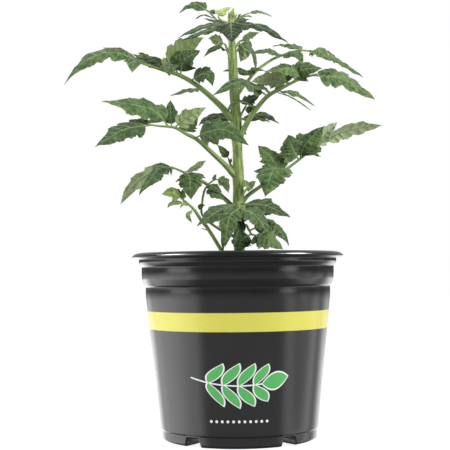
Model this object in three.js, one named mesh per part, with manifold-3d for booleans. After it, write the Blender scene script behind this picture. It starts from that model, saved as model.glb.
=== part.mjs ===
// A young tomato plant in a round nursery pot. Millimetres, +Z up, origin at the middle of the pot's foot.
// Seen from the front, -Y is towards the viewer and +X is to the right.
import * as THREE from 'three';
import { mergeVertices } from 'three/addons/utils/BufferGeometryUtils.js';
import Module from 'manifold-3d';

const wasm = await Module();
wasm.setup();

// Driving sizes of the pot
const LIP_RADIUS = 57.15;
const LIP_REACH = 5;
const LIP_DROP = 2.4;
const LIP_UNDERSIDE = 0.7;
const COLLAR_RADIUS = 53.5;
const COLLAR_HEIGHT = 96.3;
const COLLAR_RISE = 2.1;
const POT_HEIGHT = 99.5;
const FOOT_RADIUS = 42.2;
const FOOT_ROUNDING = 1.6;
const FOOT_LINE_HEIGHT = 6;
const FOOT_LINE_STEP = 0.7;
const LOWER_LEDGE_HEIGHT = 81.6;
const UPPER_LEDGE_HEIGHT = 92.3;
const LOWER_LEDGE_RADIUS = 49.9;
const UPPER_LEDGE_RADIUS = 52;
const LEDGE_STEP = 0.7;
const LEDGE_RISE = 0.35;
const WALL = 1.1;
const POT_SIDES = 42;

// Foot channels, which drain the pot: the same five all round, the first two either side of the front
const CHANNELS = 5;
const CHANNEL_HALF_WIDTH = 5;
const CHANNEL_SLOPE = 1.4;
const CHANNEL_HEIGHT = 3.8;
const CHANNEL_INNER_RADIUS = 25;
const FRONT_ANGLE = -90;
const POT_TURN = 1.5;
const DRAIN_RADIUS = 3;
const DRAIN_AT_RADIUS = 33;
const DRAIN_SIDES = 12;

// Soil, which sinks a little towards the wall, and clearances
const SOIL_HEIGHT = 88;
const SOIL_MOUND = 2.5;
const SOIL_CROWN_RADIUS = 22;
const SOIL_SHOULDER_RADIUS = 45;
const SOIL_EDGE_RADIUS = 49.3;
const SOIL_EDGE_DROP = 1.4;
const SOIL_WALL_ROOM = 0.6;
const SOIL_FOOT_ROOM = 2.6;
const SOIL_SIDES = 28;
const GAP = 0.3;

// Blades and stalks
const BLADE_THICKNESS = 0.7;
const STALK_THICKNESS = 1;
const STALK_HALF_WIDTH = 0.5;
const TIP_HALF_WIDTH = 0.2;
const STALK_SHARE = 0.12;
const BLADE_FOLD = 0.16;
const BLADE_FOOT_POWER = 0.62;
const BLADE_TIP_POWER = 1.2;
const LARGE_WIDTH = 14;
const THIN_EDGE_WIDTH = 8;
const SMALL_WIDTH = 6;
const STALK_GIRTH = 0.84;
const STALK_SIDES = 5;
const STEM_SIDES = 9;

// The teeth of a blade's edge, from its foot to its tip: [share of the blade at the tooth's point, share at
// the notch behind it, how much of the width the notch cuts away]
const LARGE_TEETH = [[0.22, 0.29, 0.32], [0.45, 0.52, 0.26], [0.65, 0.71, 0.16]];
const MIDDLE_TEETH = [[0.24, 0.32, 0.32], [0.5, 0.58, 0.26]];
const SMALL_TEETH = [[0.3, 0.4, 0.25]];

// Finishes
const paint = (color, roughness) => new THREE.MeshStandardMaterial({ color, roughness, metalness: 0 });
const BLACK_PLASTIC = paint(0x1c1d1f, 0.38);
const PEAT = paint(0x2e2119, 1);
const STEM_GREEN = paint(0x7c9a52, 0.6);
const LEAF_GREEN = paint(0x557543, 0.65);
const YOUNG_GREEN = paint(0x93ab55, 0.65);

// The main stem's centre line and radius: [x, y, z, radius]
const STEM = [
  [0.6, 0, 66, 1.9], [0.9, 0, 84, 3], [1, 0, 101, 2.9], [1, 0, 122, 2.8], [0.8, 0, 140, 2.9],
  [0.7, 0, 152, 2.6], [0.2, 0, 166, 2.7], [-0.5, 0, 184, 2.6], [-1.3, 0, 199, 2.5], [-1.6, 0, 210, 2],
  [-1.8, 0, 219, 1.3], [-1.8, 0, 225, 0.7],
];

// Every leaf and shoot has a stalk, [x, y, z, radius] from inside the stem or soil to its last leaflet, and
// leaflets, [place on the stalk, width, [the way the upper face looks], ...midrib points out to the tip].
// Place 0 is the stalk's first point, place 1 its second, and so on.
const FRONDS = {
  leaf_upper_left: {
    stalk: [
      [-0.4, -0.5, 170.5, 1.9], [-8.9, -3, 180, 1.8], [-20.4, -5, 190, 1.5], [-30.1, -6, 195.8, 1.3],
      [-38.7, -7, 198.4, 0.9], [-49.9, -9, 202, 0.7], [-59.5, -10, 205, 0.55],
    ],
    leaflets: [
      [5.3, 17, [-0.2, -0.65, 0.75], [-63, -12, 207.5], [-73.6, -13, 206.6], [-83, -14, 201],
       [-91.9, -16, 190]],
      [5, 10, [0, 0.25, 0.95], [-60, -4, 210], [-72.5, 0, 213.2]],
      [4, 13, [0, -0.5, 0.85], [-45, -3, 205.6], [-53, -2, 209.8]],
      [4.6, 9, [0, -0.3, 0.95], [-51, 1, 207.4], [-57, 7, 211]],
      [5.3, 13, [0, -0.7, 0.7], [-54, -17, 203], [-54.3, -24, 194.5]],
      [3.7, 11, [0, -0.6, 0.8], [-35.5, -14, 200.4], [-35, -22, 192.8]],
      [3.1, 18, [-0.3, 0.9, 0.2], [-33, -5, 202.5], [-28, 0, 212], [-17.4, 4, 219]],
      [3, 17, [0.1, -0.85, 0.5], [-27.5, -9, 204], [-19, -11, 208.4]],
      [2.4, 12, [0.1, -0.9, 0.35], [-19.5, -9, 195.4], [-14.4, -12, 195], [-12.2, -13, 188.6]],
      [1.9, 8, [0, 0.15, 1], [-26.5, 5, 189.8], [-36.6, 12, 188.2]],
    ],
  },
  leaf_mid_left: {
    stalk: [
      [0.6, -0.5, 139.5, 1.8], [-5.8, -3, 146.6, 1.7], [-12.7, -8, 152.8, 1.45], [-20.6, -13, 159.6, 1.2],
      [-26.3, -16, 162.4, 1.05], [-32.6, -18, 165.7, 0.8], [-40.4, -21, 166.2, 0.6],
      [-46.1, -23, 166.8, 0.5],
    ],
    leaflets: [
      [6.7, 18, [-0.2, -0.8, 0.6], [-58, -29, 163.8], [-73, -34, 154.2]],
      [5.4, 18, [-0.1, -0.75, 0.65], [-43, -19, 174.6], [-56, -22, 178.2], [-70.4, -24, 179.4]],
      [5.2, 9, [0, -0.8, 0.6], [-35.1, -12, 174.8], [-35.4, -8, 182.2]],
      [5, 11, [0.1, 0.8, 0.5], [-25.5, -20, 171], [-15.8, -20, 176]],
      [4.2, 11, [0, -0.8, 0.6], [-25, -12.5, 168], [-20.2, -11, 172.4]],
      [3.2, 17, [0.15, -0.95, 0.3], [-15, -20, 163], [-5, -24, 163.2], [6.6, -26, 155]],
      [6.8, 8, [0, -0.6, 0.8], [-50, -18, 169.8], [-57.2, -17, 170.4]],
    ],
  },
  leaf_low_left: {
    stalk: [
      [1, 0.3, 121, 1.4], [-8.5, 5.5, 131, 1.2], [-16.8, 3.5, 137.5, 1], [-27.6, -3, 142.8, 0.7],
      [-35, -5, 146, 0.5],
    ],
    leaflets: [
      [4, 9, [-0.4, 0.8, -0.3], [-48, 0, 142.8], [-58.4, 3, 135], [-64.2, 4, 126.6]],
      [3.7, 18, [-0.5, -0.7, 0.6], [-41.5, -10, 145], [-52.2, -14, 130.6]],
      [3, 18, [0, -0.75, 0.6], [-25, -11, 139.4], [-24.4, -14, 127.6]],
      [3.1, 7, [0, 0.7, 0.7], [-22.2, 3, 147.2], [-16.8, 5, 150.6]],
      [3.1, 4, [-0.3, 0.6, 0.6], [-30, 2, 141], [-29, 4, 138]],
    ],
  },
  leaf_young_left: {
    stalk: [
      [1, -0.4, 107, 0.9], [-9.5, -3.5, 112, 0.8], [-18.5, -5, 119.5, 0.7], [-18.7, -7, 126.4, 0.65],
      [-17.4, -8, 132.6, 0.6], [-15.1, -8, 136.2, 0.55], [-11.4, -8, 139, 0.5],
    ],
    leaflets: [
      [5, 8, [0, -0.7, 0.7], [-12.6, -12, 135], [-7.7, -14, 131.4]],
      [4.5, 7, [0, -0.6, 0.8], [-11.5, -13.5, 130.4], [-5.6, -16, 126.8]],
      [6, 7.5, [0.3, 0.8, 0.4], [-6.3, -7, 137.3], [-4.3, -6.5, 131.5]],
      [5.6, 3.5, [0, -0.6, 0.8], [-11.2, -9, 141.6]],
      [3, 4.5, [-0.3, -0.8, 0.5], [-20.3, -10, 122.5]],
    ],
  },
  side_shoot: {
    young: true,
    stalk: [
      [-1.6, -8, 79, 1.2], [-2.8, -8.5, 92, 1.2], [-7.3, -9, 98.4, 1.15], [-15.2, -9, 111.5, 1.1],
      [-19.7, -10, 117.4, 1], [-23.4, -10, 123, 0.85], [-29.4, -10, 128.3, 0.6],
    ],
    leaflets: [
      [6, 11, [-0.2, -0.8, 0.6], [-34.3, -12, 131.6], [-39.9, -14, 131]],
      [5.7, 4, [-0.2, -0.8, 0.6], [-34.6, -12, 126.1], [-37.3, -12, 123.6]],
      [5.9, 4, [0, -0.9, 0.2], [-29.1, -9, 133.8]],
      [5.3, 3, [-0.2, -0.8, 0.6], [-28.5, -13, 125.5], [-30.4, -14, 123.2]],
      [5, 4, [-0.5, -0.8, 0.3], [-26.3, -14, 119.5], [-24.1, -14, 115.2]],
      [3, 1.5, [0, -0.2, 1], [-19.2, -9, 112.8]],
      [2, 2, [0, -1, 0], [-8, -8.6, 108], [-7.8, -8, 117]],
    ],
  },
  leaf_mid_right: {
    stalk: [
      [1.4, 0, 124, 1.3], [5.8, 1, 130.2, 1.25], [13, 3, 135.5, 1.1], [20.8, 5, 141.1, 1],
      [28, 7, 145.6, 0.9], [35.4, 9, 151.2, 0.75], [45.6, 11, 159.2, 0.55], [56.5, 14, 164.5, 0.45],
    ],
    leaflets: [
      [6.2, 14, [0, 0.6, 0.8], [57.7, 16, 166.4], [70.8, 18, 169.8], [83, 20, 171]],
      [5.9, 12, [0, 0.7, 0.6], [50, 16, 166], [57, 19, 173]],
      [5, 25, [0, -0.75, 0.65], [37.4, 6, 158], [48.6, 8, 169.2]],
      [4.9, 20, [-0.2, -0.75, 0.65], [31.4, 5, 156.6], [28.8, 8, 164.6]],
      [3.2, 16, [0.1, -0.75, 0.6], [19.4, 8, 152.6], [12.2, 14, 159.6]],
      [3.3, 11, [0.2, -0.75, 0.6], [24.6, 8, 151.8], [28.8, 12, 151]],
      [3, 23, [-0.1, -0.8, 0.6], [20.4, -4, 145], [17.8, -9, 138.6], [15.2, -10, 129]],
    ],
  },
  leaf_upper_right: {
    stalk: [
      [0.5, -0.5, 160, 1.9], [4.1, -2, 166.4, 1.8], [8.9, -5, 174.2, 1.55], [16.5, -8, 182.9, 1.3],
      [23.4, -10, 186.8, 1.1], [30.8, -12, 190.2, 0.85], [37.2, -13, 192.6, 0.65], [44, -15, 194, 0.5],
    ],
    leaflets: [
      [6.6, 18, [0.2, -0.7, 0.7], [57, -18, 190.8], [73.4, -22, 179]],
      [5, 16, [0, -0.85, 0.5], [36, -14, 196.6], [46, -16, 197]],
      [6.7, 11, [0.1, -0.6, 0.8], [51.5, -13, 196], [60, -12, 192.4]],
      [5.7, 15, [0, -0.65, 0.75], [29.1, -16.5, 197.4], [15.6, -17, 195.4]],
      [4.8, 14, [0, 0.6, 0.7], [19.5, -12, 192.8], [8.4, -14, 190.8]],
      [4.6, 9, [0, -0.7, 0.6], [26.3, -6, 197.3], [24.8, -2, 203]],
      [5.3, 8, [0, -0.7, 0.6], [32.3, -7, 197.4], [31.7, -3, 202.2]],
      [3.4, 11, [0, -0.6, 0.8], [14.5, -13.4, 188], [7.5, -17, 185]],
      [3.1, 14, [0, -0.7, 0.7], [9.4, -14, 188.2], [0.4, -19, 189.6], [-12.6, -21, 182.2]],
      [2.3, 7, [0, -0.5, 0.85], [5.1, -10, 180.5], [-0.8, -15, 179.4], [-5.6, -17, 172.8]],
      [3.8, 6.5, [0.1, -0.6, 0.8], [31.2, -17, 183.8], [41.6, -20, 176.4]],
      [3.7, 4, [0.1, -0.3, 0.9], [30, -9, 183], [40.2, -10, 175.8]],
    ],
  },
  leaf_back_right: {
    stalk: [
      [-0.4, 0.4, 184, 1.1], [4.7, 3, 191.5, 1], [11.4, 8, 200.2, 0.9], [14.8, 10, 203.4, 0.85],
      [22.7, 14, 208.9, 0.8], [34.8, 19, 213.8, 0.6], [42.4, 22, 214.3, 0.5], [51.3, 25, 214, 0.4],
    ],
    leaflets: [
      [6.8, 10, [0.1, -0.6, 0.8], [61, 30, 209.4], [73.8, 32, 201]],
      [6, 14, [0, -0.6, 0.8], [47.5, 17, 213.4], [54, 14, 207]],
      [4.2, 13, [0, -0.6, 0.8], [33, 9.5, 211], [37.8, 6, 205]],
      [4.3, 13, [0, -0.5, 0.85], [19.5, 12, 213], [9.6, 13, 212]],
      [5.4, 12, [0, -0.35, 1], [31.4, 28, 219.6], [21.7, 31, 219.6]],
      [6.3, 10, [0.2, -0.3, 1], [52.7, 33, 217], [60.4, 38, 212.4]],
      [1.6, 7, [0, -0.6, 0.7], [1, 8.5, 201.7], [-6.9, 9, 201]],
      [1.5, 8, [0.1, -0.55, 0.85], [8.6, 1.5, 200.6], [16.6, 0, 199.2]],
    ],
  },
  leaf_back: {
    stalk: [
      [0.2, 0.5, 165, 1.5], [0.5, 7, 171.5, 1.3], [0.5, 18, 175.5, 1.1], [0.5, 30, 177, 0.8],
      [0.5, 40, 175.5, 0.6],
    ],
    leaflets: [
      [4, 13, [0, 0.5, 0.85], [0.5, 53, 173], [0.5, 66, 164]],
      [1.5, 10, [-0.2, -0.6, 0.8], [-13.8, 16, 177], [-21.4, 18, 172]],
      [1.4, 11, [0.2, -0.5, 0.8], [15.5, 14, 177.2], [24.5, 16, 172.2]],
      [3, 11, [-0.2, 0.2, 0.9], [-11, 34, 179], [-19, 36, 176]],
      [3, 11, [0.2, 0.2, 0.9], [12, 34, 179], [20, 36, 176]],
    ],
  },
  leaf_top_left: {
    stalk: [
      [-2, 0.3, 214.5, 0.8], [-8.5, 3, 225.1, 0.65], [-10.8, 5, 229.4, 0.6], [-15.4, 8, 235, 0.5],
    ],
    leaflets: [
      [2.8, 12, [-0.1, -0.6, 0.8], [-22.6, 10, 239.6], [-31.2, 12, 235]],
      [2.6, 5, [0.2, -0.5, 0.9], [-11.4, 8.5, 235.8]],
      [2, 5, [0, -0.4, 0.9], [-16.8, 3, 231.4], [-21.7, 1, 228.9]],
    ],
  },
  leaf_top_front: {
    stalk: [
      [-1.9, -0.3, 210, 1], [-2, -7, 218, 0.9], [-2, -13, 221.5, 0.8], [-2, -20, 221.4, 0.6],
    ],
    leaflets: [
      [3, 17, [0, -0.7, 0.7], [-2, -28.5, 216.6], [-1.8, -35, 207.3]],
      [2.2, 10, [0, -0.5, 0.85], [-14.6, -17, 221], [-30.5, -20, 213.6]],
      [2.9, 9, [0, -0.5, 0.85], [-15.5, -25, 215.6], [-28.6, -28, 210.2]],
      [2.6, 11, [0.1, -0.6, 0.8], [13.5, -21, 218.8], [28, -24, 209.4]],
      [2.3, 9, [0, -0.6, 0.8], [2.5, -16, 223.4], [7.6, -15, 224.2]],
      [1.6, 8, [0, -0.6, 0.8], [-9, -8, 224.4], [-16.5, -7, 227]],
    ],
  },
  leaf_top_right: {
    stalk: [
      [-2, 0.3, 217.5, 0.6], [-0.3, 2.4, 224.4, 0.55], [1.4, 4, 229.2, 0.5], [7.5, 6, 232.4, 0.45],
    ],
    leaflets: [
      [3, 6, [0, -0.55, 0.85], [13.6, 8, 234.2], [20.8, 10, 231.8]],
      [2, 3, [0, -0.8, 0.5], [3, 1.5, 231.2]],
      [2.2, 5, [0.1, -0.6, 0.9], [6, 1.5, 230], [9.5, 0, 229.4]],
    ],
  },
  leaf_crown_left: {
    stalk: [
      [-1.7, 0.3, 203.5, 0.9], [-4, 3.2, 210.7, 0.8], [-5.6, 5, 215.1, 0.6],
    ],
    leaflets: [
      [1, 8, [0, -0.5, 0.85], [-10.1, 0.5, 213], [-17.3, -3, 206.8]],
      [2, 10, [0, 0.7, 0.7], [-9.9, 8, 218.2], [-14.8, 10, 219.8]],
    ],
  },
  leaf_crown_right: {
    stalk: [
      [-1.7, 0.6, 206, 0.9], [-0.4, 4.4, 212, 0.8], [2, 7, 216.4, 0.7], [4.2, 9, 218, 0.6],
    ],
    leaflets: [
      [3, 8, [0.5, -0.6, 0.6], [7.3, 10, 217.2], [9.4, 9.5, 212.2]],
      [2, 11, [0, 0.9, 0.4], [5, 6, 211.4], [2.8, 5.5, 205.2]],
      [1.4, 8, [0.6, -0.5, 0.6], [5.4, 1, 213.6], [10.4, -2, 208], [11.4, -3.5, 198.8]],
      [2.4, 6, [0, 0.5, 0.8], [8.6, 6, 220.4], [13.6, 5, 221.6]],
    ],
  },
  growing_tip: {
    young: true,
    stalk: [
      [-1.8, 0, 222.6, 0.9], [-3.4, -0.8, 225.4, 0.7], [-7, -1.6, 226.6, 0.55], [-9.2, -2, 228.4, 0.5],
    ],
    leaflets: [
      [0.6, 4.4, [0, -0.9, 0.1], [-0.6, -1, 234.3]],
      [0.7, 2.6, [-0.4, -0.9, 0.1], [-3.4, -1.8, 231.6]],
      [0.5, 2.6, [0.4, -0.9, 0.1], [1.7, -1.8, 231]],
      [3, 8.5, [-0.4, -0.85, 0.2], [-7.4, -2.6, 231.8], [-1.8, 2.5, 235.2]],
    ],
  },
  leaf_front_low: {
    stalk: [
      [1, -0.4, 119, 1.5], [1.3, -7.5, 123.6, 1.3], [1.2, -14, 125.6, 1], [1.3, -19.5, 122.4, 0.7],
    ],
    leaflets: [
      [1.9, 18, [-0.45, -0.75, 0.5], [-10, -22, 121], [-20.8, -30, 113]],
      [3, 14, [-0.1, -0.85, 0.5], [-3.8, -29, 117.4], [-6.4, -36, 101.6]],
      [2.6, 10, [0.5, -0.8, 0.3], [1.4, -25, 114], [-1.2, -30, 103]],
      [3, 15, [0.3, -0.8, 0.5], [9.2, -27, 118.6], [17, -34, 107.6]],
      [1.6, 17, [0.3, -0.7, 0.65], [15, -18, 124], [28, -22, 117.4]],
    ],
  },
  leaf_bottom_front: {
    stalk: [
      [1, -0.4, 111, 0.9], [4.5, -7, 114, 0.8], [6, -13, 111.5, 0.7], [7.5, -18, 108.5, 0.6],
    ],
    leaflets: [
      [3, 17, [0.1, -0.75, 0.65], [15.4, -26, 106.6], [23.8, -26, 100.4]],
      [2.3, 14, [0.4, -0.7, 0.6], [14, -16, 113.6], [21.4, -17.5, 111.4], [27.4, -20, 102.6]],
      [2.9, 14, [0, -0.85, 0.45], [2.2, -22, 105.6], [0, -22.5, 98.6]],
    ],
  },
  axil_shoot_left: {
    stalk: [
      [0.6, 0.4, 143, 0.8], [-3.2, 2.6, 147.6, 0.7], [-4.2, 2.8, 151, 0.5],
    ],
    leaflets: [
      [2, 5.5, [-0.1, -0.9, 0.3], [-6.8, 2, 154.8], [-10.1, 1, 158.6]],
      [1.3, 2, [0, -0.8, 0.4], [-2.6, 4, 151.5]],
    ],
  },
  axil_shoot_right: {
    young: true,
    stalk: [
      [1.2, -0.6, 127.5, 0.8], [3.9, -3.6, 131.8, 0.7], [6, -4.6, 134.6, 0.6],
    ],
    leaflets: [
      [2, 4.5, [0, -0.9, 0.3], [4.2, -6, 138.6]],
      [2, 4.5, [0.2, -0.9, 0.3], [10.2, -6, 137.8]],
      [1.5, 3, [0.2, -0.9, 0.3], [8.6, -6.5, 134]],
    ],
  },
  axil_shoot_upper: {
    stalk: [
      [0.4, 0.6, 171, 0.8], [3.4, 3.6, 176.5, 0.7], [5.6, 4, 180.4, 0.6],
    ],
    leaflets: [
      [2, 7, [0.2, -0.9, 0.3], [8.6, 4, 184], [13.4, 3, 186.4]],
      [2, 5.5, [-0.2, -0.9, 0.3], [5, 4.6, 186.4]],
      [1.4, 6, [0.3, -0.8, 0.4], [8.6, 3, 178.6], [11.6, 2, 179.8]],
    ],
  },
};

// A closed skin over rings of points, each ring the same way round. The second half of every ring splits its
// quads the other way, so that both faces of a blade fold along the same lines.
function loft(rings) {
  const count = rings[0].length;
  const positions = rings.flat().flatMap((point) => point.toArray());
  const index = [];
  for (let ring = 0; ring + 1 < rings.length; ring += 1) {
    for (let side = 0; side < count; side += 1) {
      const a = ring * count + side;
      const b = ring * count + (side + 1) % count;
      const [c, d] = [b + count, a + count];
      index.push(...(side < count / 2 ? [a, b, c, a, c, d] : [a, b, d, b, c, d]));
    }
  }
  const last = (rings.length - 1) * count;
  for (let side = 1; side + 1 < count; side += 1) {
    index.push(0, side + 1, side, last, last + side, last + side + 1);
  }
  const geometry = new THREE.BufferGeometry();
  geometry.setAttribute('position', new THREE.Float32BufferAttribute(positions, 3));
  geometry.setIndex(index);
  return geometry;
}

// A smooth curve through [x, y, z, ...] points, read by place: 0 is the first point, 1 the second
function curveThrough(points) {
  const vectors = points.map(([x, y, z]) => new THREE.Vector3(x, y, z));
  const curve = new THREE.CatmullRomCurve3(vectors, false, 'catmullrom', 0.5);
  const last = points.length - 1;
  return {
    last,
    at: (place) => curve.getPoint(place / last),
    along: (place) => curve.getTangent(place / last),
  };
}

// A round tapering stalk through [x, y, z, radius] points, as much thicker as extra says. Each ring of the
// skin is turned from the one before by no more than the stalk bends, so that the skin doesn't twist.
function stalkGeometry(points, sides, extra = 0) {
  const curve = curveThrough(points);
  const right = new THREE.Vector3(0, 1, 0).cross(curve.along(0)).normalize();
  return loft(points.map(([, , , radius], place) => {
    const centre = curve.at(place);
    const forward = curve.along(place);
    right.addScaledVector(forward, -forward.dot(right)).normalize();
    const up = new THREE.Vector3().crossVectors(forward, right);
    return Array.from({ length: sides }, (_, side) => {
      const angle = (side / sides) * 2 * Math.PI;
      return centre.clone()
        .addScaledVector(right, (radius + extra) * Math.cos(angle))
        .addScaledVector(up, (radius + extra) * Math.sin(angle));
    });
  }));
}

// Half the width of a leaflet, as a share of its widest, at a share of its blade: round at the foot, long at
// the tip
const swell = (share) => share ** BLADE_FOOT_POWER * (1 - share) ** BLADE_TIP_POWER;
const widestAt = BLADE_FOOT_POWER / (BLADE_FOOT_POWER + BLADE_TIP_POWER);
const fullness = (share) => swell(share) / swell(widestAt);

// The stations along a blade: [share of the blade, half width as a share of the widest]. Each tooth is a
// station at its point and one at the notch behind it.
function bladeStations(width) {
  const fewTeeth = width < SMALL_WIDTH ? SMALL_TEETH : MIDDLE_TEETH;
  const teeth = width < LARGE_WIDTH ? fewTeeth : LARGE_TEETH;
  return teeth.flatMap(([point, notch, cut]) => [
    [point, fullness(point)], [notch, fullness(notch) * (1 - cut)],
  ]);
}

// One leaflet: a short stalk that widens into an arched blade with a toothed edge, thin but solid
function leafletGeometry(root, width, facing, points) {
  const curve = curveThrough([root.toArray(), ...points]);
  const face = new THREE.Vector3(...facing);
  const onBlade = (share) => STALK_SHARE + (1 - STALK_SHARE) * share;
  const rows = [
    [0, STALK_HALF_WIDTH, STALK_THICKNESS],
    [STALK_SHARE, STALK_HALF_WIDTH, STALK_THICKNESS],
    ...bladeStations(width).map(([share, half]) => [onBlade(share), half * width / 2, BLADE_THICKNESS]),
    [1, TIP_HALF_WIDTH, BLADE_THICKNESS],
  ];
  return loft(rows.map(([share, half, thickness]) => {
    const middle = curve.at(share * curve.last);
    const forward = curve.along(share * curve.last);
    const side = new THREE.Vector3().crossVectors(face, forward).normalize();
    const up = new THREE.Vector3().crossVectors(forward, side);
    const place = (across, height) => middle.clone()
      .addScaledVector(side, across * Math.cos(BLADE_FOLD))
      .addScaledVector(up, height - Math.abs(across) * Math.sin(BLADE_FOLD));
    const top = thickness / 2;
    if (width < THIN_EDGE_WIDTH) return [place(half, 0), place(0, top), place(-half, 0), place(0, -top)];
    return [place(half, top), place(0, top), place(-half, top),
      place(-half, -top), place(0, -top), place(half, -top)];
  }));
}

// A closed geometry as a solid that can be joined and cut
function solid(geometry) {
  const bare = new THREE.BufferGeometry();
  bare.setAttribute('position', geometry.getAttribute('position').clone());
  if (geometry.index) bare.setIndex(geometry.index.clone());
  const merged = mergeVertices(bare, 1e-4);
  return new wasm.Manifold(new wasm.Mesh({
    numProp: 3,
    vertProperties: new Float32Array(merged.getAttribute('position').array),
    triVerts: new Uint32Array(merged.index.array),
  }));
}

// A named mesh of the finished solid
function piece(name, shape, material) {
  const { vertProperties, triVerts } = shape.getMesh();
  const geometry = new THREE.BufferGeometry();
  geometry.setAttribute('position', new THREE.BufferAttribute(vertProperties, 3));
  geometry.setIndex(new THREE.BufferAttribute(triVerts, 1));
  geometry.computeVertexNormals();
  const mesh = new THREE.Mesh(geometry, material);
  mesh.name = name;
  return mesh;
}

// A solid turned about the vertical axis from a closed outline of [radius, height] points
function turned(outline, sides) {
  const points = outline.map(([radius, height]) => new THREE.Vector2(radius, height));
  return solid(new THREE.LatheGeometry(points, sides).rotateX(Math.PI / 2));
}

// One foot channel along +X, or the hump over it when grown is more than zero
function channel(grown, innerRadius, outerRadius) {
  const half = CHANNEL_HALF_WIDTH + grown;
  const top = CHANNEL_HEIGHT + grown;
  const shape = new THREE.Shape([
    new THREE.Vector2(-half, -1), new THREE.Vector2(half, -1), new THREE.Vector2(half, 0),
    new THREE.Vector2(half - CHANNEL_SLOPE, top), new THREE.Vector2(CHANNEL_SLOPE - half, top),
    new THREE.Vector2(-half, 0),
  ]);
  const geometry = new THREE.ExtrudeGeometry(shape, {
    depth: outerRadius - innerRadius, bevelEnabled: false, steps: 1,
  });
  return geometry.rotateX(Math.PI / 2).rotateZ(Math.PI / 2).translate(innerRadius, 0, 0);
}

// A geometry made along +X as the solid of one of its copies round the pot
function around(geometry, copy) {
  const degrees = FRONT_ANGLE + POT_TURN + (copy + 0.5) * (360 / CHANNELS);
  return solid(geometry.clone().rotateZ(THREE.MathUtils.degToRad(degrees)));
}

// Points [radius, height] on an ellipse round a centre, at angles in degrees from straight outwards
const arc = (radius, height, reach, rise, angles) => angles.map((angle) => [
  radius + reach * Math.cos(THREE.MathUtils.degToRad(angle)),
  height + rise * Math.sin(THREE.MathUtils.degToRad(angle)),
]);

// The radius of the pot's outer wall, at a height between its foot line and its lower ledge
const wallRadius = (height) => THREE.MathUtils.mapLinear(
  height, FOOT_LINE_HEIGHT, LOWER_LEDGE_HEIGHT, FOOT_RADIUS + FOOT_LINE_STEP, LOWER_LEDGE_RADIUS,
);

// The pot: its outer face goes from the rounded foot over the foot line, two ledges and the collar up to
// the flared lip, and its inner face back down to the floor. A hump in the floor covers each foot channel
// and has a drain hole.
function potSolid() {
  const ledge = (radius, height) => [
    [radius, height - LEDGE_RISE], [radius + LEDGE_STEP, height + LEDGE_RISE],
  ];
  const outer = [
    [0, 0],
    ...arc(FOOT_RADIUS - FOOT_ROUNDING, FOOT_ROUNDING, FOOT_ROUNDING, FOOT_ROUNDING, [-90, -45, 0]),
    [FOOT_RADIUS, FOOT_LINE_HEIGHT - LEDGE_RISE],
    [wallRadius(FOOT_LINE_HEIGHT), FOOT_LINE_HEIGHT],
    ...ledge(LOWER_LEDGE_RADIUS, LOWER_LEDGE_HEIGHT),
    ...ledge(UPPER_LEDGE_RADIUS, UPPER_LEDGE_HEIGHT),
    [COLLAR_RADIUS, COLLAR_HEIGHT - COLLAR_RISE],
    [COLLAR_RADIUS, COLLAR_HEIGHT],
    [LIP_RADIUS - LIP_UNDERSIDE, POT_HEIGHT - LIP_DROP - LIP_UNDERSIDE],
  ];
  const lip = arc(LIP_RADIUS - LIP_REACH, POT_HEIGHT - LIP_DROP, LIP_REACH, LIP_DROP, [0, 35, 65, 90]);
  const inner = [
    [LIP_RADIUS - LIP_REACH - WALL / 2, POT_HEIGHT - WALL / 2],
    [UPPER_LEDGE_RADIUS + LEDGE_RISE - WALL, UPPER_LEDGE_HEIGHT],
    [LOWER_LEDGE_RADIUS + LEDGE_STEP - WALL, LOWER_LEDGE_HEIGHT],
    [LOWER_LEDGE_RADIUS - WALL, LOWER_LEDGE_HEIGHT - WALL],
    [wallRadius(FOOT_LINE_HEIGHT) - WALL, FOOT_LINE_HEIGHT],
    [FOOT_RADIUS - FOOT_ROUNDING - WALL, WALL],
    [0, WALL],
  ];
  let pot = turned([...outer, ...lip, ...inner], POT_SIDES);
  const drain = new THREE.CylinderGeometry(DRAIN_RADIUS, DRAIN_RADIUS, 4 * WALL, DRAIN_SIDES)
    .rotateX(Math.PI / 2).translate(DRAIN_AT_RADIUS, 0, CHANNEL_HEIGHT + WALL);
  const reach = FOOT_RADIUS + CHANNEL_HALF_WIDTH;
  const withinFoot = turned([
    [0, WALL / 2], [FOOT_RADIUS - WALL / 2, WALL / 2], [FOOT_RADIUS - WALL / 2, POT_HEIGHT], [0, POT_HEIGHT],
  ], POT_SIDES);
  for (let copy = 0; copy < CHANNELS; copy += 1) {
    const hump = around(channel(WALL, CHANNEL_INNER_RADIUS - WALL, reach), copy).intersect(withinFoot);
    pot = pot.add(hump)
      .subtract(around(channel(0, CHANNEL_INNER_RADIUS, reach), copy))
      .subtract(around(drain, copy));
  }
  return pot;
}

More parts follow.
